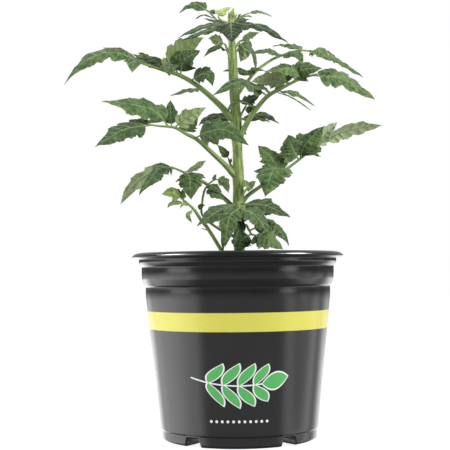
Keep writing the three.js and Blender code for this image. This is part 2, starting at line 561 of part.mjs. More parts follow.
// The soil fills the pot to a little below the lip, clear of its wall, floor and humps, with a plain hole
// for each stem that stands in it
function soilSolid(rooted) {
  const besideWall = (height) => [wallRadius(height) - WALL - SOIL_WALL_ROOM, height];
  let soil = turned([
    [0, WALL + GAP],
    [FOOT_RADIUS - WALL - SOIL_FOOT_ROOM, WALL + GAP],
    besideWall(FOOT_LINE_HEIGHT + WALL),
    besideWall(LOWER_LEDGE_HEIGHT - 2 * WALL),
    [SOIL_EDGE_RADIUS, SOIL_HEIGHT - SOIL_EDGE_DROP],
    [SOIL_SHOULDER_RADIUS, SOIL_HEIGHT - SOIL_EDGE_DROP / 3],
    [SOIL_CROWN_RADIUS, SOIL_HEIGHT + SOIL_MOUND / 5],
    [0, SOIL_HEIGHT + SOIL_MOUND],
  ], SOIL_SIDES);
  const hump = channel(WALL + GAP, CHANNEL_INNER_RADIUS - WALL - GAP, FOOT_RADIUS + CHANNEL_HALF_WIDTH);
  for (let copy = 0; copy < CHANNELS; copy += 1) soil = soil.subtract(around(hump, copy));
  for (const points of rooted) soil = soil.subtract(solid(stalkGeometry(points, STEM_SIDES, GAP)));
  return soil;
}

// A leaf's stalk as slim as it has grown, from the radii of the table
const slim = (stalk) => stalk.map(([x, y, z, radius]) => [x, y, z, radius * STALK_GIRTH]);

// One leaf or shoot: its stalk with every leaflet's foot sunk in it, cut clear of the stem and in one body
function frondSolid({ stalk, leaflets }, stemRoom) {
  const curve = curveThrough(stalk);
  let frond = solid(stalkGeometry(slim(stalk), STALK_SIDES));
  for (const [place, width, facing, ...points] of leaflets) {
    frond = frond.add(solid(leafletGeometry(curve.at(place), width, facing, points)));
  }
  const bodies = frond.subtract(stemRoom).decompose();
  return bodies.reduce((largest, body) => (body.volume() > largest.volume() ? body : largest));
}

const plant = new THREE.Group();
const stemRoom = solid(stalkGeometry(STEM, STEM_SIDES, GAP));
plant.add(
  piece('pot', potSolid(), BLACK_PLASTIC),
  piece('soil', soilSolid([STEM, slim(FRONDS.side_shoot.stalk)]), PEAT),
  piece('stem', solid(stalkGeometry(STEM, STEM_SIDES)), STEM_GREEN),
  ...Object.entries(FRONDS).map(([name, frond]) => (
    piece(name, frondSolid(frond, stemRoom), frond.young ? YOUNG_GREEN : LEAF_GREEN)
  )),
);

export default plant;
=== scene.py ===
"""A young tomato plant in a round black nursery pot, standing on a pale floor.

Metres, +Z up, the middle of the pot's foot at the origin. Seen from the front, -Y is towards the viewer and
+X is to the right. The plant's own table is in millimetres, as a grower would measure it, and MM turns it
to metres.
"""
import math
from itertools import combinations

import bpy
import numpy as np
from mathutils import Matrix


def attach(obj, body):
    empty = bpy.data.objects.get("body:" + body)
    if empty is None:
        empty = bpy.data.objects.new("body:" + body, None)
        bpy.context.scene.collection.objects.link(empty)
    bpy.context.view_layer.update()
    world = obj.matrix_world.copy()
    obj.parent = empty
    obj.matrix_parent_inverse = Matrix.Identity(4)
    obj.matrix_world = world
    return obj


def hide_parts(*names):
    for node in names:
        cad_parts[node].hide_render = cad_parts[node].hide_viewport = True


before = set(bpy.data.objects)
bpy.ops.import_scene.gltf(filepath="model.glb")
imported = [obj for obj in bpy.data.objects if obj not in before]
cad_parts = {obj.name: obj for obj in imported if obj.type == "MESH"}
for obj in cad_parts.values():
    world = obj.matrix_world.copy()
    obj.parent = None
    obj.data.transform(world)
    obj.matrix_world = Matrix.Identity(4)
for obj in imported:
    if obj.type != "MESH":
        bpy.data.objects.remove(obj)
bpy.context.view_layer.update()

MM = 0.001

# The camera stands in front of the pot a little below its lip and looks slightly up and to the left
CAMERA_PLACE = (0, -0.570, 0.0885)
CAMERA_LENS = 83.7
CAMERA_SENSOR = 36
CAMERA_PITCH = 2.61
CAMERA_YAW = 0.69
CAMERA_ROLL = 0.6

# The pot's outline, as radius and height
POT_HEIGHT = 99.5 * MM
LIP_RADIUS = 57.15 * MM
LIP_REACH = 5 * MM
LIP_DROP = 2.4 * MM
LIP_UNDERSIDE = 0.7 * MM
COLLAR_RADIUS = 53.5 * MM
COLLAR_HEIGHT = 96.3 * MM
COLLAR_RISE = 2.1 * MM
FOOT_RADIUS = 42.2 * MM
FOOT_ROUNDING = 1.6 * MM
FOOT_LINE_HEIGHT = 6 * MM
FOOT_LINE_STEP = 0.7 * MM
LOWER_LEDGE_HEIGHT = 81.6 * MM
UPPER_LEDGE_HEIGHT = 92.3 * MM
LOWER_LEDGE_RADIUS = 49.9 * MM
UPPER_LEDGE_RADIUS = 52 * MM
LEDGE_STEP = 0.7 * MM
LEDGE_RISE = 0.35 * MM
LEDGE_BULGE = 0.06 * MM
LEDGE_BAND = 3 * MM
LEDGE_BEND = 4 * MM
LOWER_LEDGE_SLOPE = 0.095
UPPER_LEDGE_SLOPE = 0.135
WALL = 1.1 * MM
AXIS_HOLE = 0.5 * MM
OUTLINE_STEP = 2.5 * MM

# Foot channels, which drain the pot, and the ways they point. The pot's front is a little right of -Y.
CHANNELS = 5
POT_FRONT = -88.5
CHANNEL_TURNS = [math.radians(POT_FRONT + (copy + 0.5) * 360 / CHANNELS) for copy in range(CHANNELS)]
CHANNEL_HALF_WIDTH = 5 * MM
CHANNEL_SLOPE = 1.4 * MM
CHANNEL_HEIGHT = 3.8 * MM
CHANNEL_INNER_RADIUS = 25 * MM
DRAIN_RADIUS = 3 * MM
DRAIN_AT_RADIUS = 33 * MM

# The print, in millimetres above the foot. It is laid out at one radius, in millimetres round the pot.
PRINT_RADIUS = 46.0
STRIPE_LOW = 58.75
STRIPE_HIGH = 68.55
SPRIG_HEIGHT = 32
DOTS_HEIGHT = 14
LEAF_SPACING = 8

# Soil
SOIL_HEIGHT = 88 * MM
SOIL_MOUND = 2.5 * MM
SOIL_EDGE_RADIUS = 49.3 * MM
SOIL_EDGE_DROP = 1.4 * MM
SOIL_AXIS_HOLE = 0.4 * MM
SOIL_GAP = 0.6 * MM
LUMP_BASE_DROP = 0.6 * MM
LUMP_SIZES = (9 * MM, 4 * MM, 2 * MM, 1.1 * MM)
LUMP_SHARE = 0.16
CRUMBS = 1500

# How much the stem swells at each leaf's joint and a stalk near its foot, as shares of the radius, and
# where and how far along. The flare's last two numbers are places on the stalk.
STALK_GIRTH = 0.84
JOINT_SWELL = 0.07
JOINT_RISE = 2 * MM
JOINT_REACH = 3.5 * MM
FLARE = 0.15
FLARE_PLACE = 0.45
FLARE_REACH = 0.35

# Blades: the fold in radians, the others as shares of a length or width where they are not in MM
STALK_SHARE = 0.12
BLADE_FOLD = 0.16
BLADE_FOOT_POWER = 0.62
BLADE_TIP_POWER = 1.2
BLADE_THICKNESS = 0.32 * MM
TOOTH_HOOK = 0.1
RIPPLES = 13
RIPPLE_DEPTH = 0.085
VEIN_SWEEP = 0.75
QUILT = 0.055
QUILT_SIZE = 14 * MM
RUFFLE = 0.04
MIDRIB_GROOVE = 0.25 * MM
RIB_SHARE = 0.82

# Blades by size: the least width, pairs of side veins, rows and columns of points, and then the teeth from
# foot to tip, each as the places of its point and of the notch past it, and the share the notch cuts away
BLADES = (
    (14, 7, 64, 19, ((0.22, 0.29, 0.32), (0.45, 0.52, 0.26), (0.65, 0.71, 0.16))),
    (6, 5, 48, 15, ((0.24, 0.32, 0.32), (0.5, 0.58, 0.26))),
    (0, 5, 28, 11, ((0.3, 0.4, 0.25),)),
)

# Hairs, each a slim spike of four faces, with their lengths and numbers
HAIR_RADIUS = 0.045 * MM
HAIR_LEAN = 0.25
HAIR_FACES = ((0, 2, 1), (0, 1, 3), (1, 2, 3), (2, 0, 3))
STEM_HAIRS = 2600
STEM_HAIR = 1.4 * MM
STALK_HAIR = 1.0 * MM
STALK_HAIRS_PER_MM = 5
RIB_HAIR = 0.7 * MM
RIB_HAIRS_PER_MM = 1.2

# What the random draws start from
SOIL_SEED = 9
STEM_SEED = 77
FIRST_FROND_SEED = 4100

# The finishes of a leaf, by number
UPPER, UNDER, RIB, DOWN = range(4)

# Lamps: name, what it lights, degrees to the right of the camera and above it, distance, width, height,
# watts, and whether mirror-like reflections show it
LAMPS = (
    ("left_pot_softbox", "pot", -72, 30, 0.9, 0.55, 1.1, 6, True),
    ("right_pot_softbox", "pot", 62, 30, 0.9, 0.33, 1.1, 4, True),
    ("high_left_pot_softbox", "pot", -98, 46, 0.9, 0.3, 0.3, 11, True),
    ("high_right_pot_softbox", "pot", 86, 46, 0.9, 0.28, 0.28, 13, True),
    ("front_pot_softbox", "pot", -6, 12, 0.9, 0.5, 0.5, 6, False),
    ("left_softbox", "plant", -74, 28, 0.9, 0.6, 0.9, 14, True),
    ("right_softbox", "plant", 58, 26, 0.9, 0.5, 0.9, 19, True),
    ("overhead_softbox", None, -20, 80, 1.0, 1.0, 1.0, 4, False),
)
LAMP_AIM = (0, 0, 0.1)

# The main stem's centre line and radius: x, y, z, radius
STEM = [
    [0.6, 0, 66, 1.9], [0.9, 0, 84, 3], [1, 0, 101, 2.9], [1, 0, 122, 2.8], [0.8, 0, 140, 2.9],
    [0.7, 0, 152, 2.6], [0.2, 0, 166, 2.7], [-0.5, 0, 184, 2.6], [-1.3, 0, 199, 2.5], [-1.6, 0, 210, 2],
    [-1.8, 0, 219, 1.3], [-1.8, 0, 225, 0.7],
]

# The leaves and shoots. Each has a tone, from 0 for the darkest green to 1 for the lightest; a stalk,
# [x, y, z, radius] from inside the stem or soil to its last leaflet; and leaflets, [place on the stalk,
# width, [the way the upper face looks, of any length], ...midrib points out to the tip]. Place 0 is the
# stalk's first point, place 1 its second, and so on.
# The tones are partly each leaf's own green and partly painted light and shade: some were set lighter for a
# leaf that lies in the shade of others, and darker for one whose leaflets face the lamps.
FRONDS = {
    "leaf_upper_left": (0.52, [
        [-0.4, -0.5, 170.5, 1.9], [-8.9, -3, 180, 1.8], [-20.4, -5, 190, 1.5], [-30.1, -6, 195.8, 1.3],
        [-38.7, -7, 198.4, 0.9], [-49.9, -9, 202, 0.7], [-59.5, -10, 205, 0.55],
    ], [
        [5.3, 17, [-2, -6.5, 7.5], [-63, -12, 207.5], [-73.6, -13, 206.6], [-83, -14, 201],
         [-91.9, -16, 190]],
        [5, 10, [0, 2.5, 9.5], [-60, -4, 210], [-72.5, 0, 213.2]],
        [4, 13, [0, -5, 8.5], [-45, -3, 205.6], [-53, -2, 209.8]],
        [4.6, 9, [0, -3, 9.5], [-51, 1, 207.4], [-57, 7, 211]],
        [5.3, 13, [0, -7, 7], [-54, -17, 203], [-54.3, -24, 194.5]],
        [3.7, 11, [0, -6, 8], [-35.5, -14, 200.4], [-35, -22, 192.8]],
        [3.1, 18, [-3, 9, 2], [-33, -5, 202.5], [-28, 0, 212], [-17.4, 4, 219]],
        [3, 17, [1, -8.5, 5], [-27.5, -9, 204], [-19, -11, 208.4]],
        [2.4, 12, [1, -9, 3.5], [-19.5, -9, 195.4], [-14.4, -12, 195], [-12.2, -13, 188.6]],
        [1.9, 8, [0, 1.5, 10], [-26.5, 5, 189.8], [-36.6, 12, 188.2]],
    ]),
    # painted shade in part: this leaf's tone is kept dark because its front leaflet faces the lamps
    "leaf_mid_left": (0.45, [
        [0.6, -0.5, 139.5, 1.8], [-5.8, -3, 146.6, 1.7], [-12.7, -8, 152.8, 1.45], [-20.6, -13, 159.6, 1.2],
        [-26.3, -16, 162.4, 1.05], [-32.6, -18, 165.7, 0.8], [-40.4, -21, 166.2, 0.6],
        [-46.1, -23, 166.8, 0.5],
    ], [
        [6.7, 18, [-2, -8, 6], [-58, -29, 163.8], [-73, -34, 154.2]],
        [5.4, 18, [-1, -7.5, 6.5], [-43, -19, 174.6], [-56, -22, 178.2], [-70.4, -24, 179.4]],
        [5.2, 9, [0, -8, 6], [-35.1, -12, 174.8], [-35.4, -8, 182.2]],
        [5, 11, [1, 8, 5], [-25.5, -20, 171], [-15.8, -20, 176]],
        [4.2, 11, [0, -8, 6], [-25, -12.5, 168], [-20.2, -11, 172.4]],
        [3.2, 17, [1.5, -9.5, 3], [-15, -20, 163], [-5, -24, 163.2], [6.6, -26, 155]],
        [6.8, 8, [0, -6, 8], [-50, -18, 169.8], [-57.2, -17, 170.4]],
    ]),
    "leaf_low_left": (0.6, [
        [1, 0.3, 121, 1.4], [-8.5, 5.5, 131, 1.2], [-16.8, 3.5, 137.5, 1], [-27.6, -3, 142.8, 0.7],
        [-35, -5, 146, 0.5],
    ], [
        [4, 9, [-4, 8, -3], [-48, 0, 142.8], [-58.4, 3, 135], [-64.2, 4, 126.6]],
        [3.7, 18, [-5, -7, 6], [-41.5, -10, 145], [-52.2, -14, 130.6]],
        [3, 18, [0, -7.5, 6], [-25, -11, 139.4], [-24.4, -14, 127.6]],
        [3.1, 7, [0, 7, 7], [-22.2, 3, 147.2], [-16.8, 5, 150.6]],
        [3.1, 4, [-3, 6, 6], [-30, 2, 141], [-29, 4, 138]],
    ]),
    "leaf_young_left": (0.42, [
        [1, -0.4, 107, 0.9], [-9.5, -3.5, 112, 0.8], [-18.5, -5, 119.5, 0.7], [-18.7, -7, 126.4, 0.65],
        [-17.4, -8, 132.6, 0.6], [-15.1, -8, 136.2, 0.55], [-11.4, -8, 139, 0.5],
    ], [
        [5, 8, [0, -7, 7], [-12.6, -12, 135], [-7.7, -14, 131.4]],
        [4.5, 7, [0, -6, 8], [-11.5, -13.5, 130.4], [-5.6, -16, 126.8]],
        [6, 7.5, [3, 8, 4], [-6.3, -7, 137.3], [-4.3, -6.5, 131.5]],
        [5.6, 3.5, [0, -6, 8], [-11.2, -9, 141.6]], [3, 4.5, [-3, -8, 5], [-20.3, -10, 122.5]],
    ]),
    "side_shoot": (0.3, [
        [-1.6, -8, 79, 1.2], [-2.8, -8.5, 92, 1.2], [-7.3, -9, 98.4, 1.15], [-15.2, -9, 111.5, 1.1],
        [-19.7, -10, 117.4, 1], [-23.4, -10, 123, 0.85], [-29.4, -10, 128.3, 0.6],
    ], [
        [6, 11, [-2, -8, 6], [-34.3, -12, 131.6], [-39.9, -14, 131]],
        [5.7, 4, [-2, -8, 6], [-34.6, -12, 126.1], [-37.3, -12, 123.6]],
        [5.9, 4, [0, -9, 2], [-29.1, -9, 133.8]],
        [5.3, 3, [-2, -8, 6], [-28.5, -13, 125.5], [-30.4, -14, 123.2]],
        [5, 4, [-5, -8, 3], [-26.3, -14, 119.5], [-24.1, -14, 115.2]],
        [3, 1.5, [0, -2, 10], [-19.2, -9, 112.8]], [2, 2, [0, -10, 0], [-8, -8.6, 108], [-7.8, -8, 117]],
    ]),
    # painted light in part: this leaf's tone is lifted because the leaves above shade it
    "leaf_mid_right": (0.85, [
        [1.4, 0, 124, 1.3], [5.8, 1, 130.2, 1.25], [13, 3, 135.5, 1.1], [20.8, 5, 141.1, 1],
        [28, 7, 145.6, 0.9], [35.4, 9, 151.2, 0.75], [45.6, 11, 159.2, 0.55], [56.5, 14, 164.5, 0.45],
    ], [
        [6.2, 14, [0, 6, 8], [57.7, 16, 166.4], [70.8, 18, 169.8], [83, 20, 171]],
        [5.9, 12, [0, 7, 6], [50, 16, 166], [57, 19, 173]],
        [5, 25, [0, -7.5, 6.5], [37.4, 6, 158], [48.6, 8, 169.2]],
        [4.9, 20, [-2, -7.5, 6.5], [31.4, 5, 156.6], [28.8, 8, 164.6]],
        [3.2, 16, [1, -7.5, 6], [19.4, 8, 152.6], [12.2, 14, 159.6]],
        [3.3, 11, [2, -7.5, 6], [24.6, 8, 151.8], [28.8, 12, 151]],
        [3, 23, [-1, -8, 6], [20.4, -4, 145], [17.8, -9, 138.6], [15.2, -10, 129]],
    ]),
    "leaf_upper_right": (0.5, [
        [0.5, -0.5, 160, 1.9], [4.1, -2, 166.4, 1.8], [8.9, -5, 174.2, 1.55], [16.5, -8, 182.9, 1.3],
        [23.4, -10, 186.8, 1.1], [30.8, -12, 190.2, 0.85], [37.2, -13, 192.6, 0.65], [44, -15, 194, 0.5],
    ], [
        [6.6, 18, [2, -7, 7], [57, -18, 190.8], [73.4, -22, 179]],
        [5, 16, [0, -8.5, 5], [36, -14, 196.6], [46, -16, 197]],
        [6.7, 11, [1, -6, 8], [51.5, -13, 196], [60, -12, 192.4]],
        [5.7, 15, [0, -6.5, 7.5], [29.1, -16.5, 197.4], [15.6, -17, 195.4]],
        [4.8, 14, [0, 6, 7], [19.5, -12, 192.8], [8.4, -14, 190.8]],
        [4.6, 9, [0, -7, 6], [26.3, -6, 197.3], [24.8, -2, 203]],
        [5.3, 8, [0, -7, 6], [32.3, -7, 197.4], [31.7, -3, 202.2]],
        [3.4, 11, [0, -6, 8], [14.5, -13.4, 188], [7.5, -17, 185]],
        [3.1, 14, [0, -7, 7], [9.4, -14, 188.2], [0.4, -19, 189.6], [-12.6, -21, 182.2]],
        [2.3, 7, [0, -5, 8.5], [5.1, -10, 180.5], [-0.8, -15, 179.4], [-5.6, -17, 172.8]],
        [3.8, 6.5, [1, -6, 8], [31.2, -17, 183.8], [41.6, -20, 176.4]],
        [3.7, 4, [1, -3, 9], [30, -9, 183], [40.2, -10, 175.8]],
    ]),
    "leaf_back_right": (0.6, [
        [-0.4, 0.4, 184, 1.1], [4.7, 3, 191.5, 1], [11.4, 8, 200.2, 0.9], [14.8, 10, 203.4, 0.85],
        [22.7, 14, 208.9, 0.8], [34.8, 19, 213.8, 0.6], [42.4, 22, 214.3, 0.5], [51.3, 25, 214, 0.4],
    ], [
        [6.8, 10, [1, -6, 8], [61, 30, 209.4], [73.8, 32, 201]],
        [6, 14, [0, -6, 8], [47.5, 17, 213.4], [54, 14, 207]],
        [4.2, 13, [0, -6, 8], [33, 9.5, 211], [37.8, 6, 205]],
        [4.3, 13, [0, -5, 8.5], [19.5, 12, 213], [9.6, 13, 212]],
        [5.4, 12, [0, -3.5, 10], [31.4, 28, 219.6], [21.7, 31, 219.6]],
        [6.3, 10, [2, -3, 10], [52.7, 33, 217], [60.4, 38, 212.4]],
        [1.6, 7, [0, -6, 7], [1, 8.5, 201.7], [-6.9, 9, 201]],
        [1.5, 8, [1, -5.5, 8.5], [8.6, 1.5, 200.6], [16.6, 0, 199.2]],
    ]),
    "leaf_back": (0.1, [
        [0.2, 0.5, 165, 1.5], [0.5, 7, 171.5, 1.3], [0.5, 18, 175.5, 1.1], [0.5, 30, 177, 0.8],
        [0.5, 40, 175.5, 0.6],
    ], [
        [4, 13, [0, 5, 8.5], [0.5, 53, 173], [0.5, 66, 164]],
        [1.5, 10, [-2, -6, 8], [-13.8, 16, 177], [-21.4, 18, 172]],
        [1.4, 11, [2, -5, 8], [15.5, 14, 177.2], [24.5, 16, 172.2]],
        [3, 11, [-2, 2, 9], [-11, 34, 179], [-19, 36, 176]],
        [3, 11, [2, 2, 9], [12, 34, 179], [20, 36, 176]],
    ]),
    "leaf_top_left": (0.45, [
        [-2, 0.3, 214.5, 0.8], [-8.5, 3, 225.1, 0.65], [-10.8, 5, 229.4, 0.6], [-15.4, 8, 235, 0.5],
    ], [
        [2.8, 12, [-1, -6, 8], [-22.6, 10, 239.6], [-31.2, 12, 235]],
        [2.6, 5, [2, -5, 9], [-11.4, 8.5, 235.8]], [2, 5, [0, -4, 9], [-16.8, 3, 231.4], [-21.7, 1, 228.9]],
    ]),
    "leaf_top_front": (0.2, [
        [-1.9, -0.3, 210, 1], [-2, -7, 218, 0.9], [-2, -13, 221.5, 0.8], [-2, -20, 221.4, 0.6],
    ], [
        [3, 17, [0, -7, 7], [-2, -28.5, 216.6], [-1.8, -35, 207.3]],
        [2.2, 10, [0, -5, 8.5], [-14.6, -17, 221], [-30.5, -20, 213.6]],
        [2.9, 9, [0, -5, 8.5], [-15.5, -25, 215.6], [-28.6, -28, 210.2]],
        [2.6, 11, [1, -6, 8], [13.5, -21, 218.8], [28, -24, 209.4]],
        [2.3, 9, [0, -6, 8], [2.5, -16, 223.4], [7.6, -15, 224.2]],
        [1.6, 8, [0, -6, 8], [-9, -8, 224.4], [-16.5, -7, 227]],
    ]),
    "leaf_top_right": (0.6, [
        [-2, 0.3, 217.5, 0.6], [-0.3, 2.4, 224.4, 0.55], [1.4, 4, 229.2, 0.5], [7.5, 6, 232.4, 0.45],
    ], [
        [3, 6, [0, -5.5, 8.5], [13.6, 8, 234.2], [20.8, 10, 231.8]], [2, 3, [0, -8, 5], [3, 1.5, 231.2]],
        [2.2, 5, [1, -6, 9], [6, 1.5, 230], [9.5, 0, 229.4]],
    ]),
    "leaf_crown_left": (0.4, [
        [-1.7, 0.3, 203.5, 0.9], [-4, 3.2, 210.7, 0.8], [-5.6, 5, 215.1, 0.6],
    ], [
        [1, 8, [0, -5, 8.5], [-10.1, 0.5, 213], [-17.3, -3, 206.8]],
        [2, 10, [0, 7, 7], [-9.9, 8, 218.2], [-14.8, 10, 219.8]],
    ]),
    "leaf_crown_right": (0.45, [
        [-1.7, 0.6, 206, 0.9], [-0.4, 4.4, 212, 0.8], [2, 7, 216.4, 0.7], [4.2, 9, 218, 0.6],
    ], [
        [3, 8, [5, -6, 6], [7.3, 10, 217.2], [9.4, 9.5, 212.2]],
        [2, 11, [0, 9, 4], [5, 6, 211.4], [2.8, 5.5, 205.2]],
        [1.4, 8, [6, -5, 6], [5.4, 1, 213.6], [10.4, -2, 208], [11.4, -3.5, 198.8]],
        [2.4, 6, [0, 5, 8], [8.6, 6, 220.4], [13.6, 5, 221.6]],
    ]),
    "growing_tip": (0.8, [
        [-1.8, 0, 222.6, 0.9], [-3.4, -0.8, 225.4, 0.7], [-7, -1.6, 226.6, 0.55], [-9.2, -2, 228.4, 0.5],
    ], [
        [0.6, 4.4, [0, -9, 1], [-0.6, -1, 234.3]], [0.7, 2.6, [-4, -9, 1], [-3.4, -1.8, 231.6]],
        [0.5, 2.6, [4, -9, 1], [1.7, -1.8, 231]],
        [3, 8.5, [-4, -8.5, 2], [-7.4, -2.6, 231.8], [-1.8, 2.5, 235.2]],
    ]),
    "leaf_front_low": (0.45, [
        [1, -0.4, 119, 1.5], [1.3, -7.5, 123.6, 1.3], [1.2, -14, 125.6, 1], [1.3, -19.5, 122.4, 0.7],
    ], [
        [1.9, 18, [-4.5, -7.5, 5], [-10, -22, 121], [-20.8, -30, 113]],
        [3, 14, [-1, -8.5, 5], [-3.8, -29, 117.4], [-6.4, -36, 101.6]],
        [2.6, 10, [5, -8, 3], [1.4, -25, 114], [-1.2, -30, 103]],
        [3, 15, [3, -8, 5], [9.2, -27, 118.6], [17, -34, 107.6]],
        [1.6, 17, [3, -7, 6.5], [15, -18, 124], [28, -22, 117.4]],
    ]),
    "leaf_bottom_front": (0.5, [
        [1, -0.4, 111, 0.9], [4.5, -7, 114, 0.8], [6, -13, 111.5, 0.7], [7.5, -18, 108.5, 0.6],
    ], [
        [3, 17, [1, -7.5, 6.5], [15.4, -26, 106.6], [23.8, -26, 100.4]],
        [2.3, 14, [4, -7, 6], [14, -16, 113.6], [21.4, -17.5, 111.4], [27.4, -20, 102.6]],
        [2.9, 14, [0, -8.5, 4.5], [2.2, -22, 105.6], [0, -22.5, 98.6]],
    ]),
    "axil_shoot_left": (0.7, [
        [0.6, 0.4, 143, 0.8], [-3.2, 2.6, 147.6, 0.7], [-4.2, 2.8, 151, 0.5],
    ], [
        [2, 5.5, [-1, -9, 3], [-6.8, 2, 154.8], [-10.1, 1, 158.6]], [1.3, 2, [0, -8, 4], [-2.6, 4, 151.5]],
    ]),
    "axil_shoot_right": (0.4, [
        [1.2, -0.6, 127.5, 0.8], [3.9, -3.6, 131.8, 0.7], [6, -4.6, 134.6, 0.6],
    ], [
        [2, 4.5, [0, -9, 3], [4.2, -6, 138.6]], [2, 4.5, [2, -9, 3], [10.2, -6, 137.8]],
        [1.5, 3, [2, -9, 3], [8.6, -6.5, 134]],
    ]),
    "axil_shoot_upper": (0.5, [
        [0.4, 0.6, 171, 0.8], [3.4, 3.6, 176.5, 0.7], [5.6, 4, 180.4, 0.6],
    ], [
        [2, 7, [2, -9, 3], [8.6, 4, 184], [13.4, 3, 186.4]], [2, 5.5, [-2, -9, 3], [5, 4.6, 186.4]],
        [1.4, 6, [3, -8, 4], [8.6, 3, 178.6], [11.6, 2, 179.8]],
    ]),
}
YOUNG = ("side_shoot", "growing_tip", "axil_shoot_right")


def unit(vectors):
    """Vectors at length one."""
    return vectors / np.maximum(np.linalg.norm(vectors, axis=-1, keepdims=True), 1e-12)


def smooth(low, high, values):
    """0 up to low, 1 from high on, and an even S between them."""
    share = np.clip((values - low) / (high - low), 0, 1)
    return share * share * (3 - 2 * share)


def joined(*parts):
    """Arrays and numbers spread to one shape and joined along a new last axis, as coordinates are."""
    return np.stack(np.broadcast_arrays(*parts), axis=-1)


def circle(sides):
    """Even angles once round."""
    return np.linspace(0, 2 * np.pi, sides, endpoint=False)


def turned(radii, angles, heights):
    """Points at radii and angles round the upright axis, and at heights."""
    return joined(radii * np.cos(angles), radii * np.sin(angles), heights)


def steps(line):
    """How long each step along a line of points is."""
    return np.linalg.norm(np.diff(line, axis=0), axis=1)


def put(name, data):
    """A new object in the scene."""
    thing = bpy.data.objects.new(name, data)
    bpy.context.scene.collection.objects.link(thing)
    return thing


class Curve:
    """A smooth curve through points. Each span is a cubic whose slope at a point is half the step from
    the point before it to the point after it, and past either end the curve's end step is repeated.
    Place 0 is the first point and place 1 the second."""

    def __init__(self, points):
        points = np.asarray(points, float)
        self.last = len(points) - 1
        self.points = np.vstack([2 * points[0] - points[1], points, 2 * points[-1] - points[-2]])

    def at(self, places):
        """Positions and unit directions at an array of places."""
        places = np.clip(np.asarray(places, float), 0, self.last)
        span = np.minimum(places.astype(int), self.last - 1)
        t = (places - span)[..., None]
        before, start, end, after = (self.points[span + step] for step in range(4))
        leave, arrive = (end - before) / 2, (after - start) / 2
        bend = 3 * (end - start) - 2 * leave - arrive
        twist = 2 * (start - end) + leave + arrive
        return start + t * (leave + t * (bend + t * twist)), unit(leave + t * (2 * bend + 3 * t * twist))

    def length(self):
        """The curve's length, as 39 straight steps."""
        return steps(self.at(np.linspace(0, self.last, 40))[0]).sum()


class Skin:
    """Meshes gathered into one piece: points, each with a place on its finish's pattern, a tone and a mark
    if it is on a crease, and faces, each with the number of its finish."""

    def __init__(self):
        self.rows, self.faces, self.finishes = [], [], []
        self.count = 0

    def add_points(self, points, patterns=0.0, tone=0.5, crease=False):
        """Gathers an array of points and gives an array of their numbers."""
        shape = points.shape[:-1]
        marks = joined(tone, np.broadcast_to(crease, shape))
        row = np.concatenate([points, np.broadcast_to(patterns, (*shape, 2)), marks], axis=-1)
        self.rows.append(row.reshape(-1, 7))
        ids = self.count + np.arange(points.size // 3).reshape(shape)
        self.count += ids.size
        return ids

    def add_faces(self, faces, finishes):
        """Gathers faces with as many corners each, and one finish or one for each face."""
        self.faces.append(faces)
        self.finishes.append(np.broadcast_to(finishes, len(faces)))

    def add_tube(self, rings, patterns=0.0, finishes=0, tone=0.5, crease=False):
        """A closed skin over rings of points, a grid of ring by side: quads between rings and a fan of
        triangles over each end. finishes holds one number, or one for each side. The faces are turned
        over if the volume inside them, summed as wedges from the middle, comes out below nothing."""
        count, sides = rings.shape[:2]
        ids = self.add_points(rings, patterns, tone, crease)
        beside = np.roll(ids, -1, axis=1)
        quads = joined(ids[:-1], beside[:-1], beside[1:], ids[1:]).reshape(-1, 4)
        fan = np.arange(1, sides - 1)
        groups = [quads, ids[0, joined(0, fan + 1, fan)], ids[-1, joined(0, fan, fan + 1)]]
        points = (rings - rings.mean(axis=(0, 1))).reshape(-1, 3)
        wedges = [np.linalg.det(points[group[:, [0, corner, corner + 1]] - ids[0, 0]]).sum()
                  for group in groups for corner in range(1, group.shape[1] - 1)]
        finishes = np.broadcast_to(finishes, sides)
        for group, numbers in zip(groups, (np.tile(finishes, count - 1), finishes[0], finishes[0])):
            self.add_faces(group[:, ::-1] if sum(wedges) < 0 else group, numbers)

    def add_bodies(self, points, corners, finish):
        """Loose closed bodies: points of each body, and the corners of its triangles, alike for all."""
        ids = self.add_points(points)
        self.add_faces(ids[:, corners].reshape(-1, 3), finish)

    def make(self, name, finishes):
        """One Blender object of all that was gathered."""
        rows = np.concatenate(self.rows).astype(np.float32)
        corners = np.concatenate([faces.ravel() for faces in self.faces]).astype(np.int32)
        sizes = np.concatenate([np.full(len(faces), faces.shape[1]) for faces in self.faces])
        mesh = bpy.data.meshes.new(name)
        mesh.vertices.add(self.count)
        mesh.vertices.foreach_set("co", rows[:, :3].ravel())
        mesh.loops.add(len(corners))
        mesh.loops.foreach_set("vertex_index", corners)
        mesh.polygons.add(len(sizes))
        mesh.polygons.foreach_set("loop_start", (np.cumsum(sizes) - sizes).astype(np.int32))
        mesh.polygons.foreach_set("material_index", np.concatenate(self.finishes).astype(np.int32))
        mesh.update(calc_edges=True)
        mesh.shade_smooth()
        pattern = mesh.uv_layers.new(name="pattern")
        pattern.uv.foreach_set("vector", rows[corners, 3:5].ravel())
        tone = mesh.attributes.new("tone", "FLOAT", "POINT")
        tone.data.foreach_set("value", rows[:, 5].copy())
        ends = np.zeros(len(mesh.edges) * 2, np.int32)
        mesh.edges.foreach_get("vertices", ends)
        sharp = mesh.attributes.new("sharp_edge", "BOOLEAN", "EDGE")
        sharp.data.foreach_set("value", (rows[ends.reshape(-1, 2), 6] > 0).all(axis=1))
        for finish in finishes:
            mesh.materials.append(finish)
        return put(name, mesh)

    def build(self, name, finishes, node):
        """A finished piece, which rides on the root body and replaces its CAD node."""
        piece = self.make(name, finishes)
        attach(piece, "root")
        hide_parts(node)
        return piece


